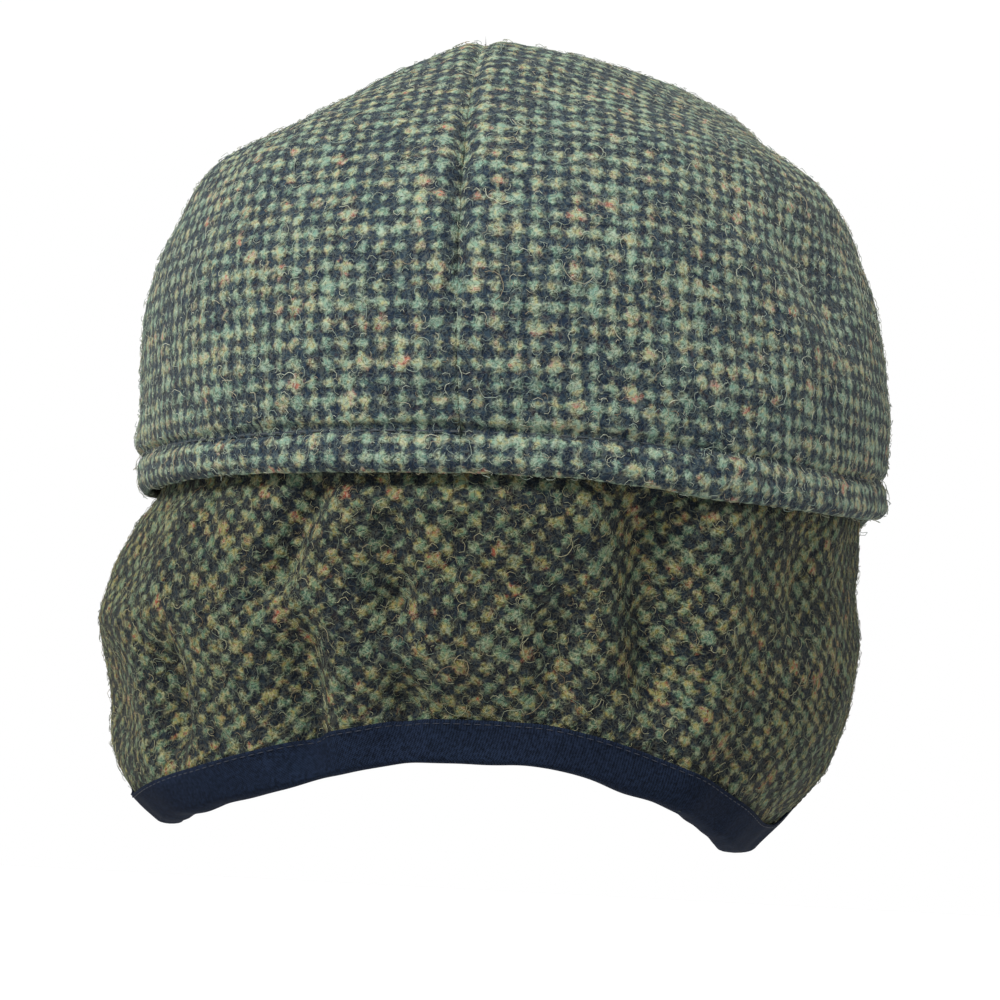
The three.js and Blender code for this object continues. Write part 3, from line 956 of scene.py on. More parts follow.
@dataclass
class CrownHalf:
    """One half of the crown, with its turned hem and the dip of the middle seam.

    Attributes:
        half: The side.
        name: Name of the piece.
        node: The plain solid that it stands for.
        seed: Picks the unevenness.
        step: Spacing of its points.
        wall: Thickness of the cloth above the hem.
        hem_wall: Thickness of the turned hem.
        lean: Sideways slump to the wearer's left, for each unit of height.
        seam_depth: Depth of the pressed seam.
        weave_relief: Height of the weave's spots, from middle to crest.
    """

    half: Half
    name: str
    node: str
    seed: int
    step: float = 1.0
    wall: float = 2.4
    hem_wall: float = 3.4
    lean: float = 0.045
    seam_depth: float = 1.2
    weave_relief: float = 0.15

    RINGS = (
        # left, right, mid, back, front, z_side, z_back, z_front, square
        (88.4, 89.2, -5, 98.9, 132.6, 7.0, 7.0, 7.0, 2.1),
        (88.6, 89.4, -5, 99.1, 132.8, 2.4, 2.4, 2.4, 2.1),
        (90.4, 91.2, -5, 100.9, 134.4, 0.0, 0.0, 0.0, 2.1),
        (92.5, 93.3, -5, 102.9, 136.4, 1.9, 1.9, 1.9, 2.1),
        (92.9, 93.3, -5, 103.2, 137.0, 6.2, 6.2, 6.2, 2.1),
        (92.3, 92.5, -5, 102.2, 136.5, 8.8, 8.8, 8.8, 2.1),
        (94.2, 94.2, -10, 103.4, 137.5, 11.6, 11.6, 11.6, 2.1),
        (93.4, 95.7, -15, 106.6, 137.5, 23.0, 25.0, 19.0, 2.15),
        (91.4, 93.2, -15, 106.0, 131.0, 45.0, 44.0, 33.0, 2.2),
        (85.3, 89.0, -15, 101.0, 121.0, 61.0, 58.0, 46.0, 2.2),
        (77.6, 84.4, -12, 91.0, 106.0, 74.0, 74.0, 60.0, 2.15),
        (56.5, 70.9, -8, 78.0, 86.0, 84.5, 87.0, 74.0, 2.1),
        (35.0, 56.3, 0, 64.0, 66.0, 96.5, 97.5, 85.0, 2.0),
        (17.5, 28.0, 0, 54.0, 52.0, 104.8, 103.2, 92.0, 2.0),
        (0.15, 0.15, 0, 50.0, 46.0, 106.6, 104.8, 94.0, 2.0),
    )
    DENTS = {
        # X from the seam's plane, Y, Z, radius and depth
        Half.LEFT: ((5, 105, 22, 7, -0.7), (70, 60, 40, 22, 0.8)),
        Half.RIGHT: ((78, 58, 45, 11, 3.4), (72, 63, 53, 9, 2.0), (18, 104, 22, 8, 0.9)),
    }
    HEM_BOTTOM, STITCHED, BELLY, SHOULDER, ROOF = 2, 5, 7, 9, 12  # rows of the table
    HEM_FADE = 30
    SEAM_WIDTH = 1.5
    STITCH_WIDTH = 1.3
    # The seam's press, as shares of its depth, and the heights over the hem where it changes.
    PRESS_AT_HEM, PRESS_AT_BACK, PRESS_AT_FRONT = 0.12, 0.75, 0.8
    PRESS_BEGINS, PRESS_DEEPENS, PRESS_EASES = (26, 44), (28, 44), (74, 96)
    BACK_ENDS = 1.6  # radians from the nape
    ROLL, ROLL_AWAY, ROLL_WIDTH, ROLL_BEGINS = 0.35, 5, 2.8, (20, 40)  # soft ridge beside the seam
    STITCH_SINKS, STITCH_PULLS = 0.75, 0.2
    WEAVE_FADES = 1.6  # the weave's relief is flat this near to the seam
    WEAVE_STITCHED = 0.8  # share of it that the stitches press flat
    LUMPS = ((0.45, 30), (0.2, 9))  # height and size of the cloth's unevenness
    INSIDE = (10.0, -15.0, 30.0)  # a point that the wall's outward normals turn away from
    MIDDLE = (0.0, -15.0)  # of the hem, towards which its stitches sink
    STITCH_BELOW, STITCH_SUNK = 0.12, 0.45  # rows below the stitched row, and millimetres
    SPARSE = 6  # the inner side keeps every sixth row and column

    def surface(self, place: Array, turn: Array) -> Array:
        """Find points of the smooth outer face, before the slump.

        Args:
            place: Place up the wall, as a row number of the table.
            turn: Angle in radians, 0 at the nape and pi at the front.

        Returns:
            Points, places by turns by 3, with X the distance from the seam's plane.
        """
        table = np.array(self.RINGS, float)
        row = np.clip(np.floor(place).astype(int), 0, len(table) - 2)
        ends = np.concatenate([table[:1], table, table[-1:]])
        rows = [ends[row + i] for i in range(4)]
        sizes = blend_four(*rows, (place - row)[:, None])
        left, right, mid, back, front, z_side, z_back, z_front, square = (c[:, None] for c in sizes.T)
        x, y = Outline(left, right, mid, back, front, square).plan(self.half, turn[None, :])
        cosine = np.cos(turn)[None, :]
        z = z_side + (np.where(cosine > 0, z_back, z_front) - z_side) * cosine**2
        z = z + hem_height(self.half, x, y) * (1 - smooth_step(0, self.HEM_FADE, z))
        return np.stack([np.maximum(x, SEAM_GAP / 2), y, z], axis=2)

    def even_places(self) -> tuple[Array, Array]:
        """Choose rows and columns that are spaced evenly over the cloth.

        Returns:
            Each row's place up the wall, and each column's angle.
        """
        fine_turn = np.linspace(0, math.pi, 721)
        belly = self.surface(np.array([float(self.BELLY)]), fine_turn)
        length = lengths_along(belly, 1)[0]
        columns = int(round(length[-1] / self.step))
        turn = np.interp(np.linspace(0, length[-1], columns + 1), length, fine_turn)
        fine_place = np.linspace(0, len(self.RINGS) - 1, 1401)
        rise = lengths_along(self.surface(fine_place, fine_turn[::24]), 0).mean(axis=1)
        rows = int(round(rise[-1] / self.step))
        place = np.interp(np.linspace(0, rise[-1], rows + 1), rise, fine_place)
        return place, turn

    def grain_maps(self, base: Array, place: Array, turn: Array) -> tuple[Array, Array]:
        """Lay the weave over the crown, square to the seam and the hem.

        The walls carry the weave round the head. The top carries it straight from back to front, so
        the two are one lattice at the back, at the sides and in front, and ease past each other at
        the corners.

        Args:
            base: Points of the smooth outer face.
            place: Each row's place up the wall.
            turn: Each column's angle.

        Returns:
            For each of the back, the side and the front, the flat place of each point, 3 by rows by
            columns by 2, and each column's region, 0 to 2.
        """
        round_head = lengths_along(base, 1)
        up_wall = lengths_along(base, 0)
        up_wall = up_wall - up_wall[nearest(place, self.HEM_BOTTOM)]
        middle = nearest(turn, math.pi / 2)
        whole = REPEAT * round(round_head[nearest(place, self.BELLY), -1] / REPEAT)
        drift = smooth_step(math.radians(60), math.radians(120), turn)[None, :]
        wall_u = round_head + drift * (whole - round_head[:, -1:])
        step = np.diff(base, axis=0)
        run = np.linalg.norm(step, axis=2)
        flat_run = np.maximum(np.hypot(step[..., 0], step[..., 1]), 1e-9)
        crest = np.zeros((1, len(turn)))
        top_u, down = (
            np.concatenate([np.cumsum((run * way / flat_run)[::-1], 0)[::-1], crest])
            for way in (np.abs(step[..., 0]), step[..., 1])
        )
        top_v = up_wall[-1, 0] + round_head[-1] + down
        side_height = REPEAT * round(up_wall[-1, middle] / REPEAT)
        shoulder = nearest(place, self.SHOULDER + 1)
        side_shift = REPEAT * round((wall_u[shoulder, middle] - top_v[shoulder, middle]) / REPEAT)
        front_height = REPEAT * round((up_wall[-1, -1] + top_v[-1, -1]) / REPEAT)
        onto_top = smooth_step(self.SHOULDER + 0.5, self.ROOF, place)[:, None]
        tops = (
            (top_u, top_v),
            (top_v + side_shift, side_height - top_u),
            (whole - top_u, front_height - top_v),
        )
        maps = [
            np.stack([wall_u + (u - wall_u) * onto_top, up_wall + (v - up_wall) * onto_top], axis=2)
            for u, v in tops
        ]
        region = (turn > math.pi / 4).astype(int) + (turn > 3 * math.pi / 4).astype(int)
        return np.stack(maps), region

    def lean_over(self, points: Array) -> Array:
        """Put points on this half's side of the seam, and let them slump with the crown.

        Args:
            points: Points with X the distance from the seam's plane.

        Returns:
            The points in their real place.
        """
        placed = points.copy()
        x = np.maximum(points[..., 0], SEAM_GAP / 2)
        placed[..., 0] = self.half.value * x + self.lean * np.maximum(points[..., 2], 0)
        return placed

    def outward(self, base: Array) -> Array:
        """Find the outward normals, kept in the seam's plane along the seam.

        Args:
            base: Points of the outer face.

        Returns:
            A unit normal for each point.
        """
        normal = grid_normals(base)
        inner = np.array(self.INSIDE)
        wall = slice(len(base) // 3, None)
        if (normal[wall] * (base[wall] - inner)).sum() < 0:
            normal = -normal
        for edge in (np.s_[:, 0], np.s_[:, -1], np.s_[-1, :]):
            normal[edge + (0,)] = 0
        normal[-1] = (0, 0, 1)
        return unit(normal)

    def dent(self, base: Array) -> Array:
        """Push the soft dents into the cloth, both sides of it.

        Args:
            base: Points of the smooth outer face.

        Returns:
            The dented points.
        """
        normal = self.outward(base)
        dented = base
        for x, y, z, radius, depth in self.DENTS[self.half]:
            away = np.linalg.norm(dented - np.array([x, y, z]), axis=2)
            dented = dented - normal * (depth * bump(away, radius))[..., None]
        return dented

    def relief(self, base: Array, place: Array, turn: Array, grain: Array) -> tuple[Array, Array]:
        """Press in the seam and the hem's stitches, and raise the weave.

        Args:
            base: Points of the outer face.
            place: Each row's place up the wall.
            turn: Each column's angle.
            grain: Each point's place on the flat cloth.

        Returns:
            How far each point is raised, and how far it shows, from 0 inside the hem to 1.
        """
        up = lengths_along(base, 0)
        up = up - up[nearest(place, self.HEM_BOTTOM)]
        shown = smooth_step(-2.0, 1.0, up)
        off_seam = base[..., 0] - SEAM_GAP / 2
        # The seam is pressed deepest half way up the back, and hardly shows near the hem.
        deepest = smooth_step(*self.PRESS_DEEPENS, up) * (1 - smooth_step(*self.PRESS_EASES, up))
        at_back = self.PRESS_AT_HEM + self.PRESS_AT_BACK * smooth_step(*self.PRESS_BEGINS, up) + deepest
        pressed = self.seam_depth * np.where(turn < self.BACK_ENDS, at_back, self.PRESS_AT_FRONT)
        lift = -pressed * bump(off_seam, self.SEAM_WIDTH)
        roll = self.ROLL * bump(off_seam - self.ROLL_AWAY, self.ROLL_WIDTH)
        lift += roll * smooth_step(*self.ROLL_BEGINS, up)
        stitched = bump(up - up[nearest(place, self.STITCHED)], self.STITCH_WIDTH)
        pull = self.STITCH_PULLS * np.cos(grain[..., 0] * 2 * math.pi / HEM_STITCH)
        lift -= stitched * (self.STITCH_SINKS + pull)
        weave = self.weave_relief * (1 - bump(off_seam, self.WEAVE_FADES))
        weave = weave * (1 - self.WEAVE_STITCHED * stitched)
        lift += weave * spots(grain)
        for number, (height, size) in enumerate(self.LUMPS):
            lift += height * soft_noise(base, size, self.seed + number)
        return lift * shown, shown

    def build(self, finishes: Sequence[bpy.types.Material]) -> bpy.types.Object:
        """Make the half.

        Args:
            finishes: Materials for the cloth's face and its reverse.

        Returns:
            The finished piece.
        """
        place, turn = self.even_places()
        smooth = self.surface(place, turn)
        maps, region = self.grain_maps(smooth, place, turn)
        base = self.dent(smooth)
        normal = self.outward(base)
        grain = np.stack([maps[r][:, c] for c, r in enumerate(region)], axis=1)
        lift, shown = self.relief(base, place, turn, grain)
        faces = np.stack([maps[:, :-1, :-1], maps[:, :-1, 1:], maps[:, 1:, 1:], maps[:, 1:, :-1]], axis=3)
        corners = np.stack([faces[r][:, c] for c, r in enumerate(region[:-1])], axis=1)
        cloth = Cloth(self.name)
        flip = self.half is Half.LEFT
        outer = self.lean_over(base + normal * lift[..., None])
        face = cloth.add_grid(outer, corners, Layer.FACE, shown, flip)
        above = np.arange(nearest(place, self.STITCHED), len(place), self.SPARSE)
        above[-1] = len(place) - 1
        across = np.unique(np.append(np.arange(0, len(turn), self.SPARSE), len(turn) - 1))
        sample = np.ix_(above, across)
        thin = [self.STITCHED, self.STITCHED + 1]
        thick = np.interp(place[above], thin, [self.hem_wall, self.wall])
        inner = base[sample] - normal[sample] * thick[:, None, None]
        back = cloth.add_inner_side(self.lean_over(inner), not flip)
        cloth.close(face, back, flip)
        return settle(cloth.finish(finishes), self.node)

    def stitch_path(self) -> Array:
        """Find the line of the hem's stitches, sunk a little in the cloth.

        Returns:
            Points of the line, in millimetres.
        """
        turn = np.linspace(0.01, math.pi - 0.01, 400)
        line = self.surface(np.array([self.STITCHED - self.STITCH_BELOW]), turn)[0]
        line[:, :2] -= unit(line[:, :2] - np.array(self.MIDDLE)) * self.STITCH_SUNK
        return self.lean_over(line)


@dataclass
class EarFlap:
    """The flap over the nape and ears, with the navy binding round its free edge.

    Attributes:
        cloth: Thickness of the flap.
        columns: Columns from the nape to a temple.
        rows: Rows from the hem down to the binding.
        tape: Thickness of the binding's tape.
        width: Width of each of its leaves.
        air: Gap between a leaf and the flap.
        weave_relief: Height of the weave's spots, from middle to crest.
    """

    cloth: float = 2.6
    columns: int = 300
    rows: int = 84
    tape: float = 0.8
    width: float = 8.2
    air: float = 0.4
    weave_relief: float = 0.15

    TOP = 10.0
    FREE = -3.4
    LEVELS = (
        # z, nape, left, right: how far inside the hem's outline the outer face lies
        (10, 5.6, 4.8, 4.8),
        (-1, 4.8, 4.4, 5.2),
        (-4, 3.4, 2.6, 5.2),
        (-9, 3.0, -1.4, 5.6),
        (-20, 6.2, -6.2, 6.2),
        (-35, 10.0, -9.0, 5.2),
        (-52, 16.0, -5.6, 8.4),
        (-64, 19.0, -4.4, 13.6),
        (-74, 21.5, 1.4, 22.0),
        (-86, 24.5, 14.0, 31.0),
    )
    FOLDS = (
        # degrees from the nape, slant, depth, half width in degrees, upper and lower height
        (52, 0.25, 1.6, 5.0, 2, -26),
        (64, 0, 2.8, 7.0, -30, -62),
        (45.5, 0.06, 6.0, 3.4, -30, -62),
        (40, 0, 2.0, 2.5, 4, -14),
        (19.5, 0.35, 5.5, 3.2, 4, -26),
        (23, 0.05, 6.5, 4.2, -24, -62),
        (8, 0.08, 5.0, 2.8, -2, -16),
        (8.5, 0.04, 6.5, 3.4, -14, -32),
        (7.5, 0.03, 5.5, 3.6, -36, -54),
        (0, 0, 2.5, 2.5, 0, -16),
        (-1, 0, 4.0, 9.0, -38, -60),
        (-13, 0, 3.5, 3.5, -18, -48),
        (-24, -0.14, 8.5, 5.5, 4, -46),
        (-37, 0, -2.5, 5.0, 0, -70),
        (-55, 0, 2.0, 4.0, 0, -32),
    )
    EDGE = (
        # degrees from the nape, height on the left and on the right
        (0, -58.9, -58.9),
        (15, -61.0, -59.7),
        (32, -67.2, -66.0),
        (50, -74.6, -74.4),
        (66, -79.6, -80.6),
        (80, -78.0, -80.0),
        (91, -62.0, -65.0),
        (98, -38.0, -40.0),
        (101, -12.0, -12.0),
        (102, 3.0, 3.0),
    )
    OVER_EAR = (8, 72)
    TEMPLE_INSET = 1.2
    SPREAD = 108  # the flat cloth is measured this many degrees to each side of the nape
    TAIL = 10  # rows of the outer face under the binding
    SPARSE = 5  # the inner side keeps a fifth of the rows and columns
    STITCH_INSET = 0.9  # from the tape's upper edge to its stitches
    STITCH_COLUMNS, STITCH_OFF = 200, 0.1
    TEMPLE, TEMPLE_LOW = (82, 90), (-12, -5)  # degrees and heights over which it draws in there
    FOLD_BEGINS, FOLD_ENDS = 14, 8  # distances over which a fold comes and goes
    LUMPS = ((0.5, 26, 21), (0.25, 10, 22))  # height, size and seed of the cloth's unevenness
    PUCKERS = ((0.16, 7, 31), (0.12, 18, 32))  # the same for the tape
    SMOOTHED = 40  # the free edge's slope is smoothed over this part of the columns
    FINE = 40  # steps from one row of the edge's table to the next
    HIDDEN = 12  # rows below the hem for each row inside it
    MEASURED = (10, -90, 50)  # top, bottom and rows of the grid that measures the flat cloth

    def point(self, turn: Array, z: Array, depth: Array) -> Array:
        """Find points of the flap.

        Args:
            turn: Degrees from the nape, positive to the wearer's left.
            z: Height.
            depth: How far inside the outer face.

        Returns:
            The points.
        """
        turn, z, depth = np.broadcast_arrays(turn, z, depth)
        keys, nape, left, right = zip(*self.LEVELS)
        over_ear = smooth_step(*self.OVER_EAR, np.abs(turn))
        ear = np.where(turn > 0, read_table(keys, left, z), read_table(keys, right, z))
        at_nape = read_table(keys, nape, z)
        drawn = self.TEMPLE_INSET * smooth_step(*self.TEMPLE, np.abs(turn))
        temple = drawn * smooth_step(*self.TEMPLE_LOW, z)
        inset = at_nape + (ear - at_nape) * over_ear + temple + self.folds(turn, z) + depth
        angle = np.radians(np.abs(turn))
        little = math.radians(0.5)
        before, here, after = (self.hem_line(turn, angle + by) for by in (-little, 0.0, little))
        along = unit(after - before)
        x = here[..., 0] + along[..., 1] * inset
        y = here[..., 1] - along[..., 0] * inset
        return np.stack([np.where(turn > 0, x, -x), y, z], axis=-1)

    @staticmethod
    def hem_line(turn: Array, angle: Array) -> Array:
        """Find points of the hem's outline, which crosses the seam's plane smoothly.

        Args:
            turn: Its sign picks the side.
            angle: Radians from the nape on that side, or a little past it.

        Returns:
            Distance from the seam's plane, and Y, on the last axis.
        """
        on_left, on_right = (np.stack(HEM.plan(half, np.abs(angle)), axis=-1) for half in Half)
        plan = np.where((turn > 0)[..., None], on_left, on_right)
        plan[..., 0] *= np.where(angle < 0, -1, 1)
        return plan

    def folds(self, turn: Array, z: Array) -> Array:
        """Add up the soft folds.

        Args:
            turn: Degrees from the nape.
            z: Height.

        Returns:
            How far the folds push the flap's face inwards.
        """
        total = np.zeros(np.shape(turn))
        for at, slant, depth, width, high, low in self.FOLDS:
            begins = smooth_step(-high, self.FOLD_BEGINS - high, -z)
            ends = begins * smooth_step(low - self.FOLD_ENDS, low + self.FOLD_ENDS, z)
            total = total + depth * ends * bump(turn - at + slant * z, width)
        return total

    def free_edge(self, count: int) -> tuple[Array, Array]:
        """Space columns evenly along the free edge, from the right temple to the left.

        Args:
            count: Columns from the nape to a temple.

        Returns:
            Degrees from the nape and height of each column's end.
        """
        ends = []
        at, on_left, on_right = (np.array(column, float) for column in zip(*self.EDGE))
        for half, height in ((Half.RIGHT, on_right), (Half.LEFT, on_left)):
            k = np.linspace(0, len(at) - 1, self.FINE * len(at))
            row = np.clip(k.astype(int), 0, len(at) - 2)
            # The table goes on as its own mirror image past the nape.
            turns = np.concatenate([-at[1:2], at, at[-1:]])
            heights = np.concatenate([height[1:2], height, height[-1:]])
            turn, z = (blend_four(*(c[row + i] for i in range(4)), k - row) for c in (turns, heights))
            run = np.hypot(np.radians(np.diff(turn)) * HEM.left, np.diff(z))
            length = np.concatenate([[0], np.cumsum(run)])
            even = np.linspace(0, length[-1], count + 1)
            ends.append((half.value * np.interp(even, length, turn), np.interp(even, length, z)))
        (right_turn, right_z), (left_turn, left_z) = ends
        turn = np.concatenate([right_turn[:0:-1], left_turn])
        return turn, np.concatenate([right_z[:0:-1], left_z])

    def places(self, count: int) -> Callable[[float], tuple[Array, Array]]:
        """Make the function that gives each column's place at a distance in from the free edge.

        Args:
            count: Columns from the nape to a temple.

        Returns:
            The function, from a distance to degrees from the nape and height.
        """
        turn, z = self.free_edge(count)
        number = np.arange(len(turn))
        before, after = np.maximum(number - 1, 0), np.minimum(number + 1, len(turn) - 1)
        slope = np.arctan2(z[after] - z[before], np.radians(turn[after] - turn[before]) * HEM.left)
        window = np.hanning(2 * (count // self.SMOOTHED) + 3)
        padded = np.pad(slope, len(window) // 2, mode="edge")
        slope = np.convolve(padded, window / window.sum(), mode="valid")
        across, up = np.degrees(np.sin(slope) / HEM.left), np.cos(slope)
        far = self.point(turn - self.width * across, z + self.width * up, 0.0)
        stretch = self.width / np.linalg.norm(far - self.point(turn, z, 0.0), axis=1)

        def place(inward: float) -> tuple[Array, Array]:
            """Degrees from the nape and height, a distance in from the free edge."""
            return turn - inward * stretch * across, z + inward * stretch * up

        return place

    def flat_places(self, turn: Array, z: Array) -> Array:
        """Find where points lie on the flat cloth, which is cut on the bias.

        Args:
            turn: Degrees from the nape.
            z: Height.

        Returns:
            Their places in millimetres, last axis 2.
        """
        (high, low, rows), spread = self.MEASURED, self.SPREAD
        turns, heights = np.linspace(-spread, spread, 2 * spread + 1), np.linspace(high, low, rows + 1)
        table = self.point(turns[None, :], heights[:, None], 0.0)
        along = lengths_along(table, 1)
        along = along - along[:, spread : spread + 1]
        down = lengths_along(table, 0)
        column = np.clip(turn + spread, 0, 2 * spread - 0.001)
        row = np.clip((high - z) * rows / (high - low), 0, rows - 0.001)
        c, r = column.astype(int), row.astype(int)
        right, under = column - c, row - r
        u, v = (
            (grid[r, c] * (1 - right) + grid[r, c + 1] * right) * (1 - under)
            + (grid[r + 1, c] * (1 - right) + grid[r + 1, c + 1] * right) * under
            for grid in (along, down)
        )
        return np.stack([u + v, v - u], axis=-1) / math.sqrt(2)

    def grid(self, count: int, rows: int, tail: int) -> tuple[Array, Array]:
        """Lay a grid of places over the flap, from inside the hem down to the free edge.

        Args:
            count: Columns from the nape to a temple.
            rows: Rows between the hem and the binding.
            tail: Rows under the binding.

        Returns:
            Degrees from the nape and height, rows by columns.
        """
        place = self.places(count)
        turn, seat = place(self.width)
        free = np.maximum(self.FREE, (self.TOP + seat) / 2)
        hidden = np.linspace(0, 1, max(rows // self.HIDDEN, 2))[:, None]
        down = np.linspace(0, 1, rows + 1)[1:, None]
        heights = [self.TOP + (free - self.TOP) * hidden, free + (seat - free) * down]
        turns = [np.broadcast_to(turn, height.shape) for height in heights]
        for inward in np.linspace(self.width, 0, tail + 1)[1:]:
            at, height = place(inward)
            turns.append(at[None, :])
            heights.append(height[None, :])
        return np.concatenate(turns), np.concatenate(heights)

    def build_flap(self, finishes: Sequence[bpy.types.Material]) -> bpy.types.Object:
        """Make the flap's cloth.

        Args:
            finishes: Materials for the cloth's face and its reverse.

        Returns:
            The finished piece.
        """
        turn, z = self.grid(self.columns, self.rows, self.TAIL)
        flat = self.flat_places(turn, z)
        smooth = self.point(turn, z, 0.0)
        shown = smooth_step(4, 0, z)
        tail = self.TAIL + 1
        shown[-tail:] *= np.linspace(1, 0, tail)[:, None] ** 0.5
        lift = self.weave_relief * spots(flat)
        for height, size, seed in self.LUMPS:
            lift += height * soft_noise(smooth, size, seed)
        cloth = Cloth("ear_flap_tweed")
        face = cloth.add_grid(self.point(turn, z, -lift * shown), flat, Layer.FACE, shown, False)
        turn, z = self.grid(self.columns // self.SPARSE, self.rows // self.SPARSE, 2)
        flat = self.flat_places(turn, z)
        inner = self.point(turn, z, self.cloth)
        back = cloth.add_grid(inner, flat, Layer.FACE, np.zeros(turn.shape), True)
        cloth.close(face, back, False)
        return settle(cloth.finish(finishes), "ear_flap")

    def fold_of_tape(self, off: float, leaf: int, fold: int) -> Array:
        """Sweep a skin of the tape, down one leaf, round the free edge and up the other.

        Args:
            off: How far the skin lies off the flap's cloth.
            leaf: Steps along a leaf.
            fold: Steps round the edge.

        Returns:
            Points of the skin, rows across the tape by columns along it.
        """
        place = self.places(self.columns * 2 // 3)
        under = self.cloth + self.air
        section = [(-off, inward) for inward in np.linspace(self.width, 0, leaf + 1)]
        middle, reach = under / 2, under / 2 + off
        for a in np.linspace(0, math.pi, fold + 1)[1:-1]:
            section.append((middle - reach * math.cos(a), -off * math.sin(a)))
        section += [(under + off, inward) for inward in np.linspace(0, self.width, leaf + 1)]
        return np.stack([self.point(*place(inward), depth) for depth, inward in section])

    def build_binding(self, finishes: Sequence[bpy.types.Material]) -> bpy.types.Object:
        """Make the navy binding: a tape folded round the free edge, with a leaf on each face.

        Args:
            finishes: Materials for the tape's face and its reverse.

        Returns:
            The finished piece.
        """
        outer = self.fold_of_tape(self.air + self.tape, leaf=12, fold=8)
        inner = self.fold_of_tape(self.air, leaf=3, fold=4)
        pucker = sum(height * soft_noise(outer, size, seed) for height, size, seed in self.PUCKERS)
        pucker *= smooth_step(0, 3, np.arange(len(outer)))[:, None]
        outer = outer + grid_normals(outer) * pucker[..., None]
        flat = np.stack([lengths_along(outer, 1), lengths_along(outer, 0)], axis=2)
        cloth = Cloth("binding_tape")
        face = cloth.add_grid(outer, flat, Layer.FACE, np.ones(flat.shape[:2]), False)
        back = cloth.add_inner_side(inner, True)
        cloth.close(face, back, False)
        return settle(cloth.finish(finishes), "flap_binding")

    def stitch_path(self) -> Array:
        """Find the line of the binding's stitches, near its upper edge.

        Returns:
            Points of the line, in millimetres.
        """
        place = self.places(self.STITCH_COLUMNS)
        off = self.air + self.tape + self.STITCH_OFF
        return self.point(*place(self.width - self.STITCH_INSET), -off)


# ------------------------------------------------------------------ what repeats


def new_tree(
    name: str, sizes: Sequence[str], counts: Sequence[str] = ()
) -> tuple[bpy.types.NodeTree, bpy.types.bpy_prop_collection]:
    """Make a tree of geometry nodes with named inputs.

    Args:
        name: Name of the piece that it makes.
        sizes: Names of its sizes, in metres and radians.
        counts: Names of its whole numbers.

    Returns:
        The tree, and its inputs as sockets to read, with Geometry among them.
    """
    tree = bpy.data.node_groups.new(name + "_nodes", "GeometryNodeTree")
    kinds = {"Geometry": "NodeSocketGeometry"}
    kinds.update({size: "NodeSocketFloat" for size in sizes})
    kinds.update({count: "NodeSocketInt" for count in counts})
    for key, kind in kinds.items():
        tree.interface.new_socket(key, in_out="INPUT", socket_type=kind)
    tree.interface.new_socket("Geometry", in_out="OUTPUT", socket_type="NodeSocketGeometry")
    return tree, add_node(tree, "NodeGroupInput").outputs


def end_tree(tree: bpy.types.NodeTree, made: bpy.types.Node, finish: bpy.types.Material) -> None:
    """Turn instances to a real mesh, give it its material and hand it out.

    Args:
        tree: The tree.
        made: The node that gives the geometry.
        finish: The material.
    """
    real = add_node(tree, "GeometryNodeRealizeInstances", {0: made})
    dressed = add_node(tree, "GeometryNodeSetMaterial", {"Geometry": real, "Material": finish})
    add_node(tree, "NodeGroupOutput", {0: dressed})


def run_nodes(
    name: str, mesh: bpy.types.Mesh, tree: bpy.types.NodeTree, sizes: dict[str, float]
) -> bpy.types.Object:
    """Run a tree of nodes on a mesh and keep its result as a plain mesh.

    Args:
        name: Name of the finished piece.
        mesh: What the tree works on.
        tree: The tree.
        sizes: Value of each named input.

    Returns:
        The finished piece.
    """
    source = bpy.data.objects.new(name + "_source", mesh)
    bpy.context.scene.collection.objects.link(source)
    modifier = source.modifiers.new("nodes", "NODES")
    modifier.node_group = tree
    sockets = {item.name: item.identifier for item in tree.interface.items_tree if item.in_out == "INPUT"}
    for key, value in sizes.items():
        modifier[sockets[key]] = value
    source.update_tag()
    graph = bpy.context.evaluated_depsgraph_get()
    result = bpy.data.meshes.new_from_object(source.evaluated_get(graph))
    result.name = name
    bpy.data.objects.remove(source)
    bpy.data.meshes.remove(mesh)
    piece = bpy.data.objects.new(name, result)
    bpy.context.scene.collection.objects.link(piece)
    return piece


@dataclass(frozen=True)
class StitchRow:
    """A row of sewing stitches along a line.

    Attributes:
        name: Name of the piece.
        slot: Not used.
        pitch: Distance from stitch to stitch, in millimetres.
        length: Length of a stitch.
        thread: Thickness of the thread.
    """

    name: str
    slot: str
    pitch: float
    length: float
    thread: float

    def tree(self, finish: bpy.types.Material) -> bpy.types.NodeTree:
        """Make the nodes that lay a stitch at each pitch of the line.

        Args:
            finish: The thread's material.

        Returns:
            The tree, with inputs Pitch, Length and Thread in metres.
        """
        tree, given = new_tree(self.name, ("Pitch", "Length", "Thread"))
        line = add_node(tree, "GeometryNodeMeshToCurve", {0: given["Geometry"]})
        pace = {"Curve": line, "Length": given["Pitch"]}
        along = add_node(tree, "GeometryNodeCurveToPoints", pace, mode="LENGTH").outputs
        ball = add_node(tree, "GeometryNodeMeshUVSphere", {"Segments": 6, "Rings": 5, "Radius": 0.5})
        thread = given["Thread"]
        size = add_node(tree, "ShaderNodeCombineXYZ", {0: thread, 1: thread, 2: given["Length"]})
        laid = {
            "Points": along["Points"],
            "Instance": ball.outputs["Mesh"],
            "Rotation": along["Rotation"],
            "Scale": size,
        }
        end_tree(tree, add_node(tree, "GeometryNodeInstanceOnPoints", laid), finish)
        return tree

    def build(self, path: Array, finish: bpy.types.Material) -> bpy.types.Object:
        """Make the row.

        Args:
            path: Points of its line, in millimetres.
            finish: The thread's material.

        Returns:
            The finished piece.
        """
        mesh = bpy.data.meshes.new(self.name + "_line")
        edges = [(i, i + 1) for i in range(len(path) - 1)]
        mesh.from_pydata((path * MM).tolist(), edges, [])
        sizes = {"Pitch": self.pitch * MM, "Length": self.length * MM, "Thread": self.thread * MM}
        return settle(run_nodes(self.name, mesh, self.tree(finish), sizes))


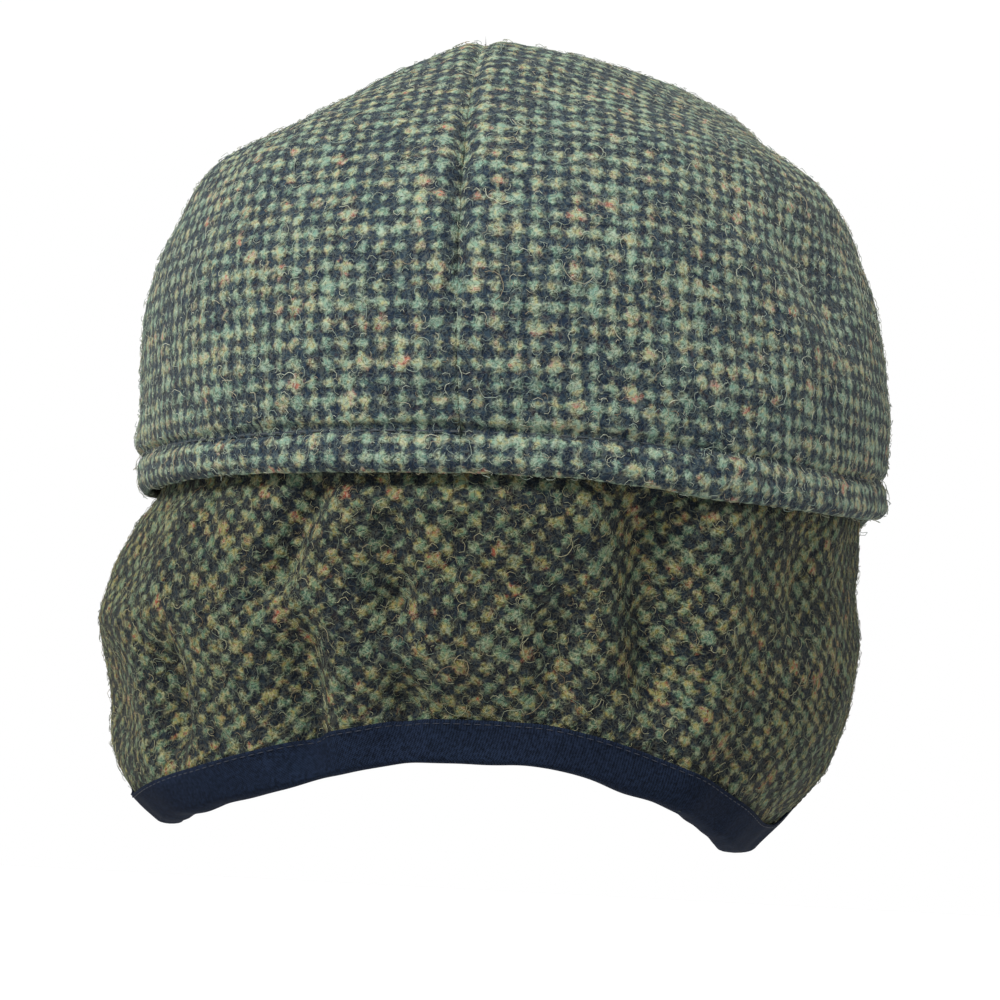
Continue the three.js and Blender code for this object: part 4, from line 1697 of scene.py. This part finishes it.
@dataclass(frozen=True)
class WoolFibres:
    """Loose fibres that stand and curl off the cloth.

    Attributes:
        name: Name of the piece.
        slot: Not used.
        density: Fibres for each square metre.
        radius: Mean radius of a fibre's arc, in millimetres.
        sweep: How far round the arc goes, in degrees.
        thickness: Its thickness.
        lift: How far it stands off the cloth.
        curl: How far it wanders from the arc.
        tilt: Most that it leans from lying flat, in degrees.
        points: Points along a fibre.
        seed: Fixes the random places.
    """

    name: str
    slot: str
    density: float
    radius: float
    sweep: float
    thickness: float
    lift: float
    curl: float
    tilt: float
    points: int
    seed: int

    SIZES = ("Density", "Radius", "Sweep", "Thickness", "Lift", "Curl", "Tilt")
    WANDER = 1.8  # size of the waves that bend the fibres, in millimetres

    def tree(self, finish: bpy.types.Material) -> bpy.types.NodeTree:
        """Make the nodes that grow the fibres on the faces that show.

        Args:
            finish: The fibres' material.

        Returns:
            The tree, with its sizes in metres as inputs.
        """
        tree, given = new_tree(self.name, self.SIZES, ("Points", "Seed"))
        outside = add_node(tree, "GeometryNodeInputNamedAttribute", {"Name": "outside"}, data_type="FLOAT")
        shown = {0: outside.outputs["Attribute"], 1: given["Density"]}
        density = add_node(tree, MATH, shown, operation="MULTIPLY")
        spread = {"Mesh": given["Geometry"], "Density": density, "Seed": given["Seed"]}
        roots = add_node(tree, "GeometryNodeDistributePointsOnFaces", spread)
        spin, lean, scale, tint = (
            add_node(
                tree,
                "FunctionNodeRandomValue",
                {2: low, 3: high, "Seed": self.seed + salt},
                data_type="FLOAT",
            ).outputs[1]
            for salt, (low, high) in enumerate(
                ((0.0, 2 * math.pi), (0.0, given["Tilt"]), (0.5, 1.6), (0.0, 1.0)), start=1
            )
        )
        turned = roots.outputs["Rotation"]
        for axis, angle in ((2, spin), (0, lean)):
            angles = add_node(tree, "ShaderNodeCombineXYZ", {axis: angle})
            by = {0: turned, 1: add_node(tree, "FunctionNodeEulerToRotation", {0: angles})}
            turned = add_node(tree, "FunctionNodeRotateRotation", by, rotation_space="LOCAL")
        bend = {"Resolution": given["Points"], "Radius": given["Radius"], "Sweep Angle": given["Sweep"]}
        arc = add_node(tree, "GeometryNodeCurveArc", bend).outputs["Curve"]
        off = add_node(tree, "ShaderNodeCombineXYZ", {2: given["Lift"]})
        raised = add_node(tree, "GeometryNodeTransform", {"Geometry": arc, "Translation": off})
        planted = {
            "Points": roots.outputs["Points"],
            "Instance": raised,
            "Rotation": turned,
            "Scale": scale,
        }
        grown = add_node(tree, "GeometryNodeInstanceOnPoints", planted)
        dyed = add_node(
            tree,
            "GeometryNodeStoreNamedAttribute",
            {"Geometry": grown, "Name": "tint", "Value": tint},
            data_type="FLOAT",
            domain="INSTANCE",
        )
        single = add_node(tree, "GeometryNodeRealizeInstances", {0: dyed})
        where = add_node(tree, "GeometryNodeInputPosition")
        waves = {"Vector": where, "Scale": 1 / (self.WANDER * MM), "Detail": 1.0}
        middle = {0: add_node(tree, NOISE, waves).outputs["Color"], 1: (0.5, 0.5, 0.5)}
        centred = add_node(tree, VECTOR, middle, operation="SUBTRACT")
        shift = add_node(tree, VECTOR, {0: centred, "Scale": given["Curl"]}, operation="SCALE")
        curled = add_node(tree, "GeometryNodeSetPosition", {"Geometry": single, "Offset": shift})
        three_sides = {"Resolution": 3, "Radius": given["Thickness"]}
        section = add_node(tree, "GeometryNodeCurvePrimitiveCircle", three_sides)
        swept = {"Curve": curled, "Profile Curve": section, "Fill Caps": True}
        end_tree(tree, add_node(tree, "GeometryNodeCurveToMesh", swept), finish)
        return tree

    def build(self, cloth: bpy.types.Object, finish: bpy.types.Material) -> bpy.types.Object:
        """Grow the fibres on a piece of cloth.

        Args:
            cloth: The piece that they grow on.
            finish: The fibres' material.

        Returns:
            The finished piece.
        """
        sizes = {
            "Density": self.density,
            "Radius": self.radius * MM,
            "Sweep": math.radians(self.sweep),
            "Thickness": self.thickness / 2 * MM,
            "Lift": self.lift * MM,
            "Curl": self.curl * MM,
            "Tilt": math.radians(self.tilt),
            "Points": self.points,
            "Seed": self.seed,
        }
        return settle(run_nodes(self.name, cloth.data.copy(), self.tree(finish), sizes))


# ------------------------------------------------------------------ studio


@dataclass
class Studio:
    """A plain white studio, with soft light from above and the wearer's left.

    Attributes:
        floor_height: Height of the floor, in millimetres.
        floor_size: Its width, in metres.
        sky_low: Strength of the sky's light from the sides and below.
        sky_high: Strength of its light from overhead.
        key_strength: Strength of the key light.
        key_from: The way it comes from.
        key_softness: Its width in the sky, in degrees.
        camera_place: Where the camera stands, in millimetres.
        camera_target: The point that it looks at, in millimetres.
        camera_roll: How far it's rolled, in degrees.
        lens: Its focal length, on a sensor 36 mm wide.
    """

    floor_height: float = -500.0
    floor_size: float = 6.0
    sky_low: float = 1.0
    sky_high: float = 1.3
    key_strength: float = 5.6
    key_from: tuple[float, float, float] = (0.3, 0.66, 0.68)
    key_softness: float = 20.0
    camera_place: tuple[float, float, float] = (-53.0, 504.2, -30.0)
    camera_target: tuple[float, float, float] = (3.1, 0.0, 1.0)
    camera_roll: float = 2.1
    lens: float = 72.0

    def build(self) -> None:
        """Make the floor, the lights and the camera."""
        self.add_floor()
        self.add_sky()
        self.add_key()
        self.add_camera()

    def add_floor(self) -> None:
        """Make the pale floor."""
        half = self.floor_size / 2
        mesh = bpy.data.meshes.new("floor")
        z = self.floor_height * MM
        corners = [(-half, -half, z), (half, -half, z), (half, half, z), (-half, half, z)]
        mesh.from_pydata(corners, [], [(0, 1, 2, 3)])
        mesh.materials.append(PlainFinish("pale paper", "cccccc", 0.9).build())
        floor = bpy.data.objects.new("floor", mesh)
        bpy.context.scene.collection.objects.link(floor)

    def add_sky(self) -> None:
        """Make a white sky that grows brighter overhead."""
        world = bpy.data.worlds.new("studio")
        world.use_nodes = True
        tree = world.node_tree
        sky = tree.nodes["Background"]
        sky.inputs["Color"].default_value = linear("ffffff")
        way = add_node(tree, "ShaderNodeTexCoord").outputs["Generated"]
        height = add_node(tree, "ShaderNodeSeparateXYZ", {0: way}).outputs["Z"]
        glow = {0: height, 1: 0.2, 2: 0.9, 3: self.sky_low, 4: self.sky_high}
        strength = add_node(tree, RANGE, glow, interpolation_type=SMOOTH)
        tree.links.new(strength.outputs[0], sky.inputs["Strength"])
        bpy.context.scene.world = world
        bpy.context.scene.view_settings.view_transform = "Standard"

    def add_key(self) -> None:
        """Make the soft key light."""
        data = bpy.data.lights.new("key", "SUN")
        data.energy = self.key_strength
        data.angle = math.radians(self.key_softness)
        key = bpy.data.objects.new("key", data)
        key.rotation_euler = (-Vector(self.key_from)).to_track_quat("-Z", "Y").to_euler()
        bpy.context.scene.collection.objects.link(key)

    def add_camera(self) -> None:
        """Make the camera: behind the wearer, a little below the hem and rolled a little."""
        place, target = Vector(self.camera_place) * MM, Vector(self.camera_target) * MM
        back = (place - target).normalized()
        right = Vector((0, 0, 1)).cross(back).normalized()
        up = back.cross(right)
        roll = math.radians(self.camera_roll)
        across = right * math.cos(roll) + up * math.sin(roll)
        upward = up * math.cos(roll) - right * math.sin(roll)
        turned = Matrix((across, upward, back)).transposed().to_4x4()
        data = bpy.data.cameras.new("camera")
        data.lens = self.lens
        data.sensor_width = 36.0
        data.clip_start = 0.01
        camera = bpy.data.objects.new("camera", data)
        camera.matrix_world = Matrix.Translation(place) @ turned
        bpy.context.scene.collection.objects.link(camera)
        bpy.context.scene.camera = camera


# ------------------------------------------------------------------ assembly

# Woollen spun tweed: quite matt, brushed and felted a little, so the spots have soft edges.
CROWN_TWEED = SpottedTweed(
    name="spotted wool tweed, straight grain",
    ground=("131e2c", "26343d", "2a2429"),
    yarns=(
        (0.0, "4c6358"),
        (0.2, "536758"),
        (0.4, "5b6b5a"),
        (0.56, "626e5b"),
        (0.7, "6a6f55"),
        (0.82, "6f6f50"),
        (0.94, "6f6852"),
        (0.985, "725f4d"),
        (1.0, "744d40"),
    ),
    fibre="969c8c",
    contrast=1.05,
    sheen=0.25,
    fuzz="6c6a5e",
)
# The same cloth cut on the bias, made darker all over as painted shade for the flap under the crown, and a
# little greener.
SHADED_FLAP_TWEED = SpottedTweed(
    name="spotted wool tweed, bias cut",
    ground=("050c15", "161f25", "1b1516"),
    yarns=(
        (0.0, "324539"),
        (0.2, "394a38"),
        (0.4, "414d39"),
        (0.56, "4a4e35"),
        (0.7, "515030"),
        (0.82, "59542f"),
        (0.94, "574a30"),
        (0.985, "593f2a"),
        (1.0, "592f22"),
    ),
    fibre="83836d",
    contrast=1.15,
    sheen=0.2,
    fuzz="5c5848",
)
TWEED_REVERSE = TweedReverse("tweed reverse", ("22292c", "454d4a"))
NAVY_TAPE = CottonTape("navy cotton tape", ("060a12", "141c2b"), thread=0.62)
HEM_THREAD = PlainFinish("grey green thread", "20272b", 0.7)
NAVY_THREAD = PlainFinish("navy thread", "0c121f", 0.9)
LIGHT_WOOL = LooseWool(
    "loose wool, light", ((0.0, "767b6b"), (0.45, "616f68"), (0.8, "909381"), (1.0, "70614b"))
)
# Loose wool for the flap: the light wool's colours made darker as painted shade, and a little warmer.
SHADED_FLAP_WOOL = LooseWool(
    "loose wool, darkened as painted shade", ((0.0, "555540"), (0.45, "3e4a41"), (0.8, "777459"), (1.0, "4f3e2b"))
)
LONG_WOOL = WoolFibres(
    name="long_wool",
    slot="crown_tweed",
    density=5500,
    radius=2.2,
    sweep=170,
    thickness=0.16,
    lift=0.12,
    curl=1.6,
    tilt=7,
    points=10,
    seed=3,
)
SHORT_WOOL = WoolFibres(
    name="short_wool",
    slot="crown_tweed",
    density=120000,
    radius=0.75,
    sweep=150,
    thickness=0.13,
    lift=0.12,
    curl=0.9,
    tilt=32,
    points=4,
    seed=7,
)


def build_crown(
    finishes: Sequence[bpy.types.Material], wool: bpy.types.Material
) -> list[bpy.types.Object]:
    """Build the two halves of the crown, with their stitches and loose wool.

    Args:
        finishes: Materials for the cloth's face and its reverse.
        wool: The loose wool's material.

    Returns:
        The pieces.
    """
    thread = HEM_THREAD.build()
    halves = (
        CrownHalf(Half.LEFT, "crown_tweed_left", "crown_left", seed=11),
        CrownHalf(Half.RIGHT, "crown_tweed_right", "crown_right", seed=41),
    )
    pieces = []
    for number, half in enumerate(halves):
        side = half.half.name.lower()
        cloth = half.build(finishes)
        stitches = StitchRow(f"hem_stitches_{side}", "crown_tweed", HEM_STITCH, length=2.5, thread=0.4)
        long_wool = replace(LONG_WOOL, name=f"long_wool_{side}", seed=LONG_WOOL.seed + number)
        short_wool = replace(SHORT_WOOL, name=f"short_wool_{side}", seed=SHORT_WOOL.seed + number)
        pieces += [cloth, stitches.build(half.stitch_path(), thread)]
        pieces += [fibres.build(cloth, wool) for fibres in (long_wool, short_wool)]
    return pieces


def build_flap(finishes: Sequence[bpy.types.Material]) -> list[bpy.types.Object]:
    """Build the ear flap, with its binding, stitches and loose wool.

    Args:
        finishes: Materials for the cloth's face and its reverse.

    Returns:
        The pieces.
    """
    tape, thread, wool = NAVY_TAPE.build(), NAVY_THREAD.build(), SHADED_FLAP_WOOL.build()
    flap = EarFlap()
    cloth = flap.build_flap(finishes)
    binding = flap.build_binding((tape, tape))
    row = StitchRow("binding_stitches", "navy_binding", pitch=2.2, length=1.6, thread=0.22)
    stitches = row.build(flap.stitch_path(), thread)
    long_wool = replace(
        LONG_WOOL, name="long_wool_flap", slot="flap_tweed", density=9000, tilt=6, seed=13
    )
    short_wool = replace(
        SHORT_WOOL,
        name="short_wool_flap",
        slot="flap_tweed",
        density=150000,
        radius=0.8,
        sweep=160,
        thickness=0.12,
        lift=0.1,
        curl=1.1,
        tilt=22,
        seed=14,
    )
    fuzz = [fibres.build(cloth, wool) for fibres in (long_wool, short_wool)]
    return [cloth, binding, stitches] + fuzz


def build_peak(
    finishes: Sequence[bpy.types.Material], wool: bpy.types.Material
) -> list[bpy.types.Object]:
    """Build the peak, with its loose wool.

    Args:
        finishes: Materials for the cloth's face and its reverse.
        wool: The loose wool's material.

    Returns:
        The pieces.
    """
    peak = PEAK.build(finishes)
    fibres = replace(SHORT_WOOL, name="short_wool_peak", density=60000, seed=17)
    return [peak, fibres.build(peak, wool)]


def main() -> None:
    """Build the studio and the cap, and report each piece."""
    logging.basicConfig(level=logging.INFO, format="%(name)s: %(message)s")
    Studio().build()
    crown_tweed, reverse, wool = CROWN_TWEED.build(), TWEED_REVERSE.build(), LIGHT_WOOL.build()
    pieces = build_crown((crown_tweed, reverse), wool)
    pieces += build_flap((SHADED_FLAP_TWEED.build(), reverse))
    pieces += build_peak((crown_tweed, reverse), wool)
    for piece in pieces:
        triangles = sum(len(face.vertices) - 2 for face in piece.data.polygons)
        log.info("%s: %d triangles", piece.name, triangles)


if __name__ == "__main__":
    main()
